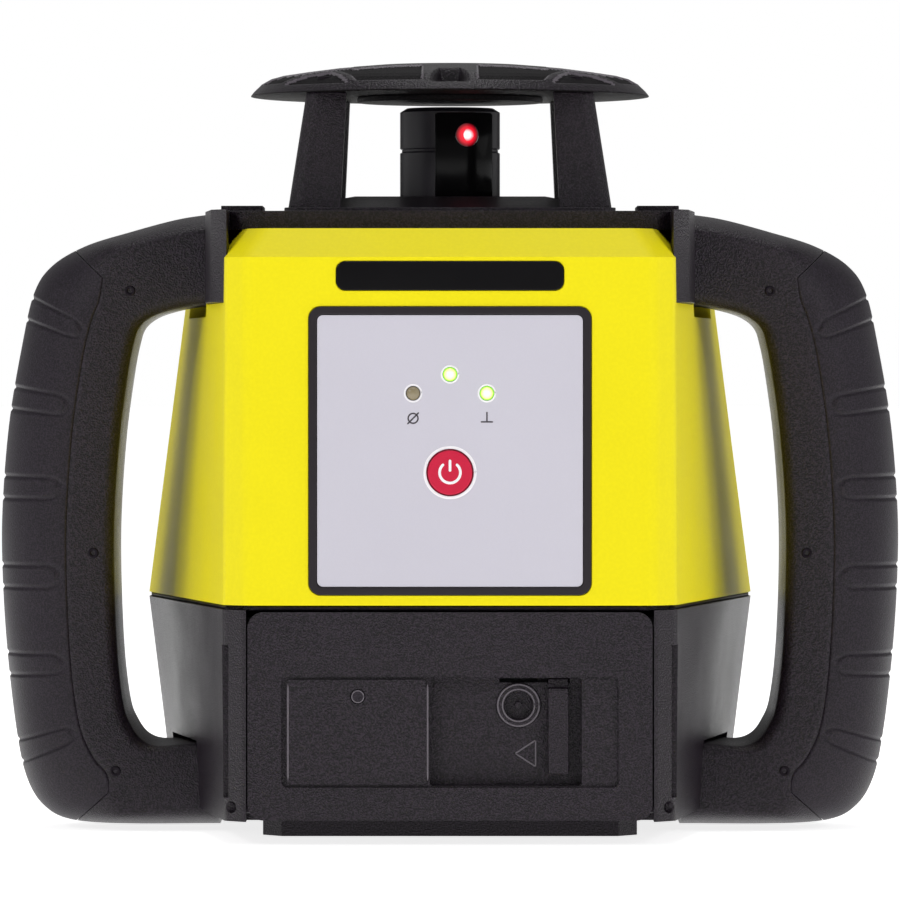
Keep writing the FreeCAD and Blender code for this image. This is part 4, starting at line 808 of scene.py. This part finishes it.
@dataclass
class Keypad:
    """Lamps, printed marks and the power button's symbol on the keypad. Millimetres."""
    lamp_radius: float = 1.75
    foot_radius: float = 2.25     # of the frame's own lamps
    ring_gap: float = 0.4         # from a lamp's rim to the middle of its white ring
    ring_line: float = 0.45
    mark_line: float = 0.42       # line width of the charcoal marks
    dial_drop: float = 6.4        # how far the marks lie under their lamps
    stem_drop: float = 6.0
    button_height: float = 95.1
    button_line: float = 0.75
    button_ring: float = 6.45
    symbol_radius: float = 3.0
    dial: float = 1.25            # radius of the crossed circle
    needle: float = 1.5           # reach of the line that crosses it, each way
    stem: float = 1.3             # half height of the upright
    bar: float = 1.6              # half width of its base line
    ink: float = 0.05             # how thick the ink lies

    def lamp_places(self) -> dict[str, Pair]:
        """Reads each lamp's place from the frame's lamps.

        Returns:
            Lamp name to its place across and up, in metres.
        """
        low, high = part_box("level_lamps")
        off_low, off_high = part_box("warning_lamp")
        foot = self.foot_radius * MM
        return {"upper": (low.x + foot, high.z - foot), "right": (high.x - foot, low.z + foot),
                "left": ((off_low.x + off_high.x) / 2, (off_low.z + off_high.z) / 2)}

    def build_lamps(self, face: float) -> None:
        """Builds a low dome for each lamp, and the white ring round it.

        Args:
            face: where the keypad's face lies along Y, in metres.
        """
        dome = [(0.15, 0.75), (0.7, 0.7), (1.15, 0.52), (1.5, 0.2), (self.lamp_radius, -0.25),
                (self.lamp_radius, -1.5), (0.15, -1.5)]
        for name, (x, z) in self.lamp_places().items():
            # A clear moulded lens over a lit green diode: nearly white, with a green rim.
            lens = UNLIT_LENS if name == "left" else Lamp(
                f"lit_lamp_lens_{name}", "#7cc41a", "#f4ffc0", 1.7, (x, face, z),
                self.lamp_radius * MM)
            piece = turned(f"lamp_dome_{name}", dome, (x, face, z), lens, "housing")
            if name == "left":
                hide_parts("warning_lamp")
            circle = ring((x / MM, z / MM), self.lamp_radius + self.ring_gap, 12, 72)
            stroke(f"lamp_ring_{name}", circle, self.ring_line, face, self.ink, WHITE_INK,
                   "housing")
        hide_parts("level_lamps")

    def build(self) -> None:
        """Builds the lamps, the marks under them, and the button's ring and power sign."""
        face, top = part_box("keypad_overlay")[0].y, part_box("power_button")[0].y
        self.build_lamps(face)
        places = self.lamp_places()
        x, z = places["left"][0] / MM, places["left"][1] / MM - self.dial_drop
        marks = [("tilt_mark_dial", ring((x, z), self.dial, 12, 48)),
                 ("tilt_mark_needle", line((x - self.needle, z - self.needle),
                                           (x + self.needle, z + self.needle)))]
        x, z = places["right"][0] / MM, places["right"][1] / MM - self.stem_drop
        foot = z - self.stem
        marks += [("height_mark_stem", line((x, foot), (x, z + self.stem))),
                  ("height_mark_bar", line((x - self.bar, foot), (x + self.bar, foot)))]
        for name, path in marks:
            stroke(name, path, self.mark_line, face, self.ink, GREY_INK, "housing")
        centre = (0.0, self.button_height)
        bar = line((0.0, self.button_height + 0.2),
                   (0.0, self.button_height + self.symbol_radius + 0.3))
        signs = [("button_ring", ring(centre, self.button_ring, 4, 96), face, "housing"),
                 ("power_mark_arc", arc(centre, self.symbol_radius - 0.35, 125, 415, 80), top,
                  "button"), ("power_mark_bar", bar, top, "button")]
        for name, path, seat, body in signs:
            stroke(name, path, self.button_line, seat, self.ink, WHITE_INK, body)


# ---------------------------------------------------------------- laser head

@dataclass
class Head:
    """The spinning head's glossy window and the lit aperture behind it. Millimetres."""
    radius: float = 13.42
    inner: float = 12.95
    turn: float = 20.0            # degrees from the front to the beam
    half: float = 37.0            # half of the window's angle, in degrees
    beam: float = 183.6           # height of the beam
    low: float = 166.2            # height of the window's foot
    rise: float = 23.2            # from there to its top
    lip_in: float = 0.2           # how far the window's broken edges are set in
    lip_high: float = 0.3         # and how high they are
    lens: float = 3.3
    lens_skins: Pair = (0.1, -0.5)            # its faces, out from the window
    core: float = 1.7             # radius of the bright middle
    window_turns: int = 49
    lens_rings: int = 14
    lens_turns: int = 48

    def window_points(self) -> np.ndarray:
        """The window: a thin shell with an arc of the head's circle for its course.

        Returns:
            sections x points x 3 array of places in metres.
        """
        angle = np.linspace(-self.half, self.half, self.window_turns)
        angle = np.radians(self.turn + angle)[:, None]
        set_in, top = self.radius - self.lip_in, self.rise
        radius = np.array([set_in, self.radius, self.radius, set_in, self.inner,
                           self.inner])[None, :]
        height = self.low + np.array([0.0, self.lip_high, top - self.lip_high, top, top,
                                      0.0])[None, :]
        across, depth = radius * np.sin(angle), -radius * np.cos(angle)
        return np.stack([across, depth, np.broadcast_to(height, across.shape)], axis=-1) * MM

    def aperture_points(self) -> np.ndarray:
        """The aperture: a disc of rings bent round the head, place across / radius = angle.

        Returns:
            sections x points x 3 array of places in metres.
        """
        share = np.linspace(0.04, 1.0, self.lens_rings)[:, None]
        angle = np.linspace(0, 2 * math.pi, self.lens_turns, endpoint=False)[None, :]
        side, up = share * self.lens * np.cos(angle), share * self.lens * np.sin(angle)
        bend = side / self.radius + math.radians(self.turn)
        outer, under = (np.stack([(self.radius + lift) * np.sin(bend),
                                  -(self.radius + lift) * np.cos(bend), self.beam + up], axis=-1)
                        for lift in self.lens_skins)
        return np.concatenate([outer, under[::-1]]) * MM

    def build(self) -> None:
        """Builds the window, the aperture and its bright spot."""
        window = section_piece("head_window", self.window_points(), BLACK_GLOSS, "rotor")
        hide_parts("rotor_window")
        centre = (self.radius * math.sin(math.radians(self.turn)) * MM,
                  -self.radius * math.cos(math.radians(self.turn)) * MM, self.beam * MM)
        # Red light scattered behind dark glass: a red disc that fades into the window.
        glow = Lamp("lit_laser_aperture", "#0d0002", "#ff2238", 1.2, centre, self.lens * MM)
        aperture = section_piece("laser_aperture", self.aperture_points(), glow, "rotor")
        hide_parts("aperture_lens")
        # The collimating lens, full of laser light: a white-hot spot with a pink rim.
        core = Lamp("laser_core", "#ff3b49", "#ffe9e9", 1.6, centre, self.core * MM)
        spot = [(0.1, 0.5), (1.0, 0.42), (self.core, 0.15), (self.core, -0.2), (0.1, -0.2)]
        piece = turned("laser_spot", spot, centre, core, "rotor")


# ---------------------------------------------------------------- crown

@dataclass
class Crown:
    """The dome over the head: four notches, lower quarters over the posts, sunk panels.

    Heights are millimetres above the ground, radii from the spin axis. In each quarter turn,
    side is the distance from the line through its notch, along the distance on that line, and
    slant the side that a quarter's leaning edge has at the lean's start.
    """
    dome: list[Pair] = field(default_factory=lambda: [
        (0.0, 202.75), (10, 202.7), (20.3, 202.35), (30.1, 201.5), (37.9, 200.5), (44.5, 199.5),
        (47.8, 198.6), (50.3, 197.2), (52.2, 195.3), (53.0, 194.3)])
    under: float = 194.0
    under_rim: Pair = (0.8, 0.1)  # width and height of its sloping rim
    under_middle: float = 25.0    # radius of its one ring between the rim and the pole
    pole: float = 0.05            # radius of the hole that a fan closes
    middle: float = 24.0          # no quarter or panel lies nearer to the axis
    middle_step: float = 2.0
    sink: float = 0.9             # how much lower the quarters over the posts lie
    panel_sink: float = 0.7
    step: float = 1.1             # width of the sloping edges
    rim_step: float = 0.8         # and of those along the rim
    lean: float = 0.35            # how far a quarter's edge leans outwards, as a slope
    lean_start: float = 38.0
    corner_slant: float = 28.3    # where the quarters over the posts begin
    corner_rim: float = 50.6      # radius at which they end
    panel_side: float = 6.7       # the panels' four edges
    panel_slant: float = 26.0
    panel_start: float = 25.3
    panel_rim: float = 50.0
    floor: float = 196.2          # height of the notches' floor
    notch_start: float = 40.0
    notch_run: float = 12.0       # how far on a notch has its full width
    notch_half: Pair = (2.0, 4.8)
    notch_step: Pair = (0.9, 0.7)     # width of its sides and of its end wall
    highlight_from: float = 0.12       # from this depth: painted highlight; from the next: panel
    panel_from: float = 0.75
    middle_rings: int = 14        # inside the middle, and from there to the rim
    rings: int = 116
    ring_gap: float = 0.4         # between the two sets
    spokes: int = 720

    def masks(self, radius: np.ndarray, angle: np.ndarray) -> tuple[np.ndarray, ...]:
        """Where the lower quarters, the panels and the notches lie, each from 0 to 1.

        Each is a product of smooth steps in the distance from its edges.

        Args:
            radius: distances from the axis.
            angle: directions in radians.

        Returns:
            The quarters, the panels and the notches, as arrays of the same shape.
        """
        quarter = math.pi / 2
        turn = np.mod(angle + quarter / 2, quarter) - quarter / 2
        side, along = radius * np.abs(np.sin(turn)), radius * np.cos(turn)
        slant = side + (along - self.lean_start) * self.lean
        corner = (smooth_step(slant, self.corner_slant, self.step)
                  * smooth_step(radius, self.middle, self.middle_step)
                  * (1 - smooth_step(radius, self.corner_rim, self.rim_step)))
        panel = (smooth_step(side, self.panel_side, self.step)
                 * (1 - smooth_step(slant, self.panel_slant, self.step))
                 * smooth_step(along, self.panel_start, self.step)
                 * (1 - smooth_step(radius, self.panel_rim, self.rim_step)))
        reach = np.clip((along - self.notch_start) / self.notch_run, 0, 1)
        half = self.notch_half[0] + (self.notch_half[1] - self.notch_half[0]) * reach
        sides, end = self.notch_step
        notch = (1 - smooth_step(side, half, sides)) * smooth_step(along, self.notch_start - end,
                                                                   end)
        return corner, panel, notch

    def top(self, radius: np.ndarray, angle: np.ndarray) -> np.ndarray:
        """The upper surface's height: the dome, less the quarters, the panels and the notches.

        Args:
            radius: distances from the axis.
            angle: directions in radians.

        Returns:
            Heights, as an array of the same shape.
        """
        corner, panel, notch = self.masks(radius, angle)
        radii, heights = zip(*self.dome)
        height = np.interp(radius, radii, heights)
        height = height - self.sink * corner - self.panel_sink * panel
        return height - np.maximum(height - self.floor, 0) * notch

    def face_slots(self, radius: np.ndarray, angle: np.ndarray, faces: int,
                   over: int) -> np.ndarray:
        """Which material each face takes: 0 dome, 1 panel, 2 painted highlight on the steps.

        A face is as deep as the mean of its corners lies in a quarter or a panel.

        Args:
            radius: distances of the rings from the axis.
            angle: directions of the spokes in radians.
            faces: the number of faces, the two fans with them.
            over: how many of the rings lie on the upper surface.

        Returns:
            One slot number for each face; the underside is all panel.
        """
        corner, panel, notch = self.masks(radius, angle)
        depth = np.maximum(corner, panel) * (1 - notch)
        depth = (depth + np.roll(depth, -1, axis=1)) / 2
        depth = ((depth[:-1] + depth[1:]) / 2).ravel()
        slots = np.zeros(faces, dtype=np.int32)
        slots[:len(depth)] = np.where(depth > self.panel_from, 1,
                                      np.where(depth > self.highlight_from, 2, 0))
        slots[(over - 1) * self.spokes:] = 1
        return slots

    def build(self) -> None:
        """Builds the cap in place of the frame's cap and pads."""
        edge = self.dome[-1][0]
        angle = np.linspace(0, 2 * math.pi, self.spokes, endpoint=False)[None, :]
        over = np.concatenate([np.linspace(self.pole, self.middle, self.middle_rings),
                               np.linspace(self.middle + self.ring_gap, edge,
                                           self.rings)])[:, None]
        rim, rise = self.under_rim
        under = np.array([[edge, self.under + rise], [edge - rim, self.under],
                          [self.under_middle, self.under], [self.pole, self.under]])
        height = self.top(over, angle)
        below = (len(under), self.spokes)
        radius = np.concatenate([np.broadcast_to(over, height.shape),
                                 np.broadcast_to(under[:, :1], below)])
        height = np.concatenate([height, np.broadcast_to(under[:, 1:], below)])
        points = np.stack([radius * np.cos(angle), radius * np.sin(angle), height], axis=-1) * MM
        cap = section_piece("crown_dome", points, SATIN_BLACK, "housing")
        # Slot 2 is the pale painted highlight along the sloping steps.
        for finish in (PANEL_BLACK, PAINTED_HIGHLIGHT):
            cap.data.materials.append(finish.material())
        faces = cap.data.polygons
        slots = self.face_slots(radius, angle, len(faces), len(over))
        faces.foreach_set("material_index", slots)
        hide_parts("crown_cap", "crown_pads")


# ---------------------------------------------------------------- battery door

@dataclass
class DoorMarks:
    """The raised arrow that shows which way the latch opens, and rims round the sockets."""
    tip: Pair = (16.7, 23.3)
    base: float = 21.9            # where the arrow's upright side lies
    half: float = 3.4             # half its height
    arrow_sink: float = 0.5       # how far the arrow's floor lies behind the socket's rim
    plate: Pair = (-41.3, -5.7)   # the raised plate's upright edges
    rise: Pair = (16.6, 41.3)     # their lower and upper ends
    step: float = 0.3             # how far the plate lies behind the door's face
    bead: float = 0.5             # width of a bead
    fine_bead: float = 0.45       # width of the mouth's bead
    plug_bead: float = 0.35       # width of the plug's
    rims: Place = (5.3, 4.1, 1.5)               # radii: socket, its mouth, plug
    stand: Place = (0.15, 0.25, 0.12)           # heights: plate, arrow, rims

    def build(self) -> None:
        """Builds the beads on the door."""
        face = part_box("battery_door")[0].y + self.step * MM
        socket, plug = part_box("charge_socket"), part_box("door_plug")
        floor = socket[0].y + self.arrow_sink * MM
        corners = [(self.base, self.tip[1] + self.half), self.tip,
                   (self.base, self.tip[1] - self.half), (self.base, self.tip[1] + self.half)]
        mouth, stopper = (((box[0].x + box[1].x) / 2 / MM, (box[0].z + box[1].z) / 2 / MM)
                          for box in (socket, plug))
        edge_high, arrow_high, rim_high = self.stand
        beads = [(f"plate_edge_{number}", line((across, self.rise[0]), (across, self.rise[1])),
                  self.bead, face, edge_high) for number, across in enumerate(self.plate)]
        beads += [(f"latch_arrow_{number}", line(start, end), self.bead, floor, arrow_high)
                  for number, (start, end) in enumerate(zip(corners, corners[1:]))]
        rims = [("socket_rim", mouth, 8, 72, self.bead, socket),
                ("socket_mouth", mouth, 8, 72, self.fine_bead, socket),
                ("plug_rim", stopper, 12, 48, self.plug_bead, plug)]
        beads += [(name, ring(centre, radius, overlap, count), width, box[0].y, rim_high)
                  for radius, (name, centre, overlap, count, width, box) in zip(self.rims, rims)]
        # Each bead is pale: painted highlight along the plate's edges, the arrow and the rims.
        for name, path, width, seat, height in beads:
            bead = stroke(name, path, width, seat, height, PAINTED_HIGHLIGHT, "door")


# ---------------------------------------------------------------- finishes of the frame's nodes

@dataclass
class FrameFinish:
    """Finishes and edge radii of the frame's own nodes, by what each one is made of.

    Radii are in millimetres: a moulded wall has about half a millimetre, a turned or stamped
    metal piece a broken edge.
    """
    post_edge: float = 1.1
    casing_edge: float = 0.6
    trim_edge: float = 0.35
    hidden_edge: float = 0.2
    metal_edge: float = 0.15
    film_edge: float = 0.1
    edge_faces: int = 2
    sharp_angle: float = 30.0     # only edges that turn by more degrees are rounded
    flat_angle: float = 0.6       # faces that differ by fewer degrees become one
    weld: float = 0.01            # points that are nearer are one

    def groups(self) -> list[tuple[Finish, float, str]]:
        """What each node is made of.

        Returns:
            A finish, an edge radius, and the names of the nodes that have both.
        """
        casing, trim = self.casing_edge, self.trim_edge
        hidden, metal = self.hidden_edge, self.metal_edge
        return [
            (YELLOW_ABS, casing, "upper_housing"),
            (BLACK_CASE, casing, "lower_housing base_plate top_cover crown_cap "
             "handle_left_front handle_left_rear handle_right_front handle_right_rear"),
            (BLACK_CASE, self.post_edge, "crown_posts"),
            (BLACK_CASE, trim, "battery_door latch_slider"),
            (BLACK_CASE, metal, "charge_socket"),
            (BLACK_CASE, hidden, "battery_tray"),
            (BLACK_RUBBER, trim, "crown_pads grip_left grip_right door_plug"),
            (BLACK_RUBBER, 0.0, "housing_seal"),
            (PANEL_BLACK, trim, "crown_liner"),
            (BLACK_GLOSS, trim, "sight_blocks nameplate"),
            (BLACK_GLOSS, 0.0, "rotor_window aperture_lens"),
            (HEAD_BLACK, trim, "rotor_head"),
            (FRAME_BLACK, trim, "keypad_frame"),
            (OVERLAY_GREY, self.film_edge, "keypad_overlay"),
            (BUTTON_RED, trim, "power_button"),
            (NYLON, metal, "level_lamps warning_lamp"),
            (PRISM_GLASS, metal, "pentaprism"),
            (BOARD, 0.0, "keypad_board"),
            (BOARD, hidden, "main_board"),
            (CELL_WRAP, hidden, "battery_cells"),
            (FERRITE, metal, "rotor_magnet"),
            (BLACK_OXIDE, metal, "cover_screws crown_screws handle_screws hinge_pin"),
            (BRASS, metal, "tripod_insert standoffs level_plunger_x level_plunger_y "
             "laser_module"),
            (STEEL, metal, "base_screws chassis_pins level_screw_x level_screw_y barrel_pins "
             "shaft_bearings rotor_shaft"),
            (STEEL, hidden, "level_motors"),
            (STEEL, 0.0, "contact_springs"),
            (ALUMINIUM, hidden, "chassis_plate motor_plate gimbal_ring ring_arm barrel "
             "unit_arm"),
            (COPPER, hidden, "motor_stator"),
        ]

    def soften(self, piece: Object, width: float) -> None:
        """Gives sharp edges the small radius that moulding or deburring leaves.

        Args:
            piece: a node of the frame.
            width: the edge radius in millimetres; 0 leaves the edges sharp.
        """
        weld = piece.modifiers.new("weld", "WELD")
        weld.merge_threshold = self.weld * MM
        flat = piece.modifiers.new("merge_flats", "DECIMATE")
        flat.decimate_type = "DISSOLVE"
        flat.angle_limit = math.radians(self.flat_angle)
        if width > 0:
            edge = piece.modifiers.new("edge_radius", "BEVEL")
            edge.width = width * MM
            edge.segments = self.edge_faces
            edge.limit_method = "ANGLE"
            edge.angle_limit = math.radians(self.sharp_angle)
            edge.use_clamp_overlap = True
        even = piece.modifiers.new("face_normals", "WEIGHTED_NORMAL")
        even.weight = 100
        faces = piece.data.polygons
        faces.foreach_set("use_smooth", np.ones(len(faces), dtype=bool))

    def build(self) -> None:
        """Gives every node of the frame its finish and softened edges."""
        for finish, edge, names in self.groups():
            for name in names.split():
                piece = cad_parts[name]
                piece.data.materials.clear()
                piece.data.materials.append(finish.material())
                self.soften(piece, edge)
                log.info("%s: %s", name, finish.name)


# ---------------------------------------------------------------- studio

@dataclass
class Studio:
    """A white sweep, soft lamps all round and a long lens a little above the middle.

    Places are in metres, and lamp powers in watts.
    """
    eye: Place = (0.0, -2.0, 0.1187)
    target: Place = (0.0, 0.0, 0.100)
    lens: float = 300.0           # millimetres
    sensor: float = 36.0          # millimetres wide
    sight: float = 100.0          # how far the camera sees
    sky_light: float = 0.28       # how bright the white room is
    floor_glow: float = 0.84      # light that the lit sweep gives back
    floor_half: float = 30.0
    floor_drop: float = 0.0002
    lamps: list[tuple[str, Place, float, float]] = field(
        default_factory=lambda: [("key", (-1.2, -1.6, 1.1), 0.3, 6.0),
                                 ("fill", (1.2, -1.5, 0.9), 0.3, 4.6),
                                 ("top", (0.0, -0.3, 1.9), 0.8, 8.0),
                                 ("left", (-1.9, -0.3, 0.9), 1.4, 2.4),
                                 ("right", (1.9, -0.3, 0.9), 1.4, 2.4),
                                 ("rear", (0.0, 1.0, 2.0), 1.0, 4.0)])

    def stand(self, name: str, data: ID, place: Place) -> Object:
        """Stands a camera or a lamp at a place, looking at the target.

        Args:
            name: its name.
            data: the camera's or the lamp's settings.
            place: where it stands.

        Returns:
            The new object.
        """
        piece = bpy.data.objects.new(name, data)
        piece.location = place
        way = Vector(self.target) - piece.location
        piece.rotation_euler = way.to_track_quat("-Z", "Y").to_euler()
        bpy.context.scene.collection.objects.link(piece)
        return piece

    def add_lamps(self) -> None:
        """Adds the soft lamps."""
        for name, place, size, power in self.lamps:
            data = bpy.data.lights.new(name, "AREA")
            data.shape = "DISK"
            data.size = size
            data.energy = power
            self.stand(name, data, place)

    def add_floor(self) -> None:
        """Adds a matt white floor just under the object's feet."""
        half, low = self.floor_half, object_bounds()[0].z - self.floor_drop
        mesh = bpy.data.meshes.new("floor")
        mesh.from_pydata([(-half, -half, low), (half, -half, low), (half, half, low),
                          (-half, half, low)], [], [(0, 1, 2, 3)])
        paper = Paper("matt_white_paper", "#fbfbfb", "#f7f7f7", self.floor_glow)
        mesh.materials.append(paper.material())
        floor = bpy.data.objects.new("floor", mesh)
        bpy.context.scene.collection.objects.link(floor)
        floor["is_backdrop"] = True

    def add_camera(self) -> None:
        """Adds the camera and makes it the scene's."""
        data = bpy.data.cameras.new("camera")
        data.lens = self.lens
        data.sensor_width = self.sensor
        data.clip_end = self.sight
        bpy.context.scene.camera = self.stand("camera", data, self.eye)

    def build(self) -> None:
        """Sets up the white room, the floor, the lamps and the camera.

        The room is white to the camera and dimmer as a light.
        """
        world = bpy.data.worlds.new("white_room")
        world.use_nodes = True
        sky = world.node_tree.nodes["Background"]
        sky.inputs["Color"].default_value = (1.0, 1.0, 1.0, 1.0)
        ray = put(world.node_tree, "LightPath")
        seen = put(world.node_tree, "MapRange", {"Value": ray.outputs["Is Camera Ray"],
                                                 "To Min": self.sky_light})
        world.node_tree.links.new(seen.outputs["Result"], sky.inputs["Strength"])
        scene = bpy.context.scene
        scene.world = world
        scene.view_settings.view_transform = "Standard"
        self.add_floor()
        self.add_lamps()
        self.add_camera()


def main() -> None:
    """Builds each sub-assembly in order, then the studio."""
    logging.basicConfig(level=logging.INFO, format="%(name)s %(message)s")
    handles = [Handle(side) for side in Side]
    for part in (FrameFinish(), *handles, Keypad(), Head(), Crown(), DoorMarks(), Studio()):
        part.build()
        log.info("%s built", type(part).__name__)


if __name__ == "__main__":
    main()
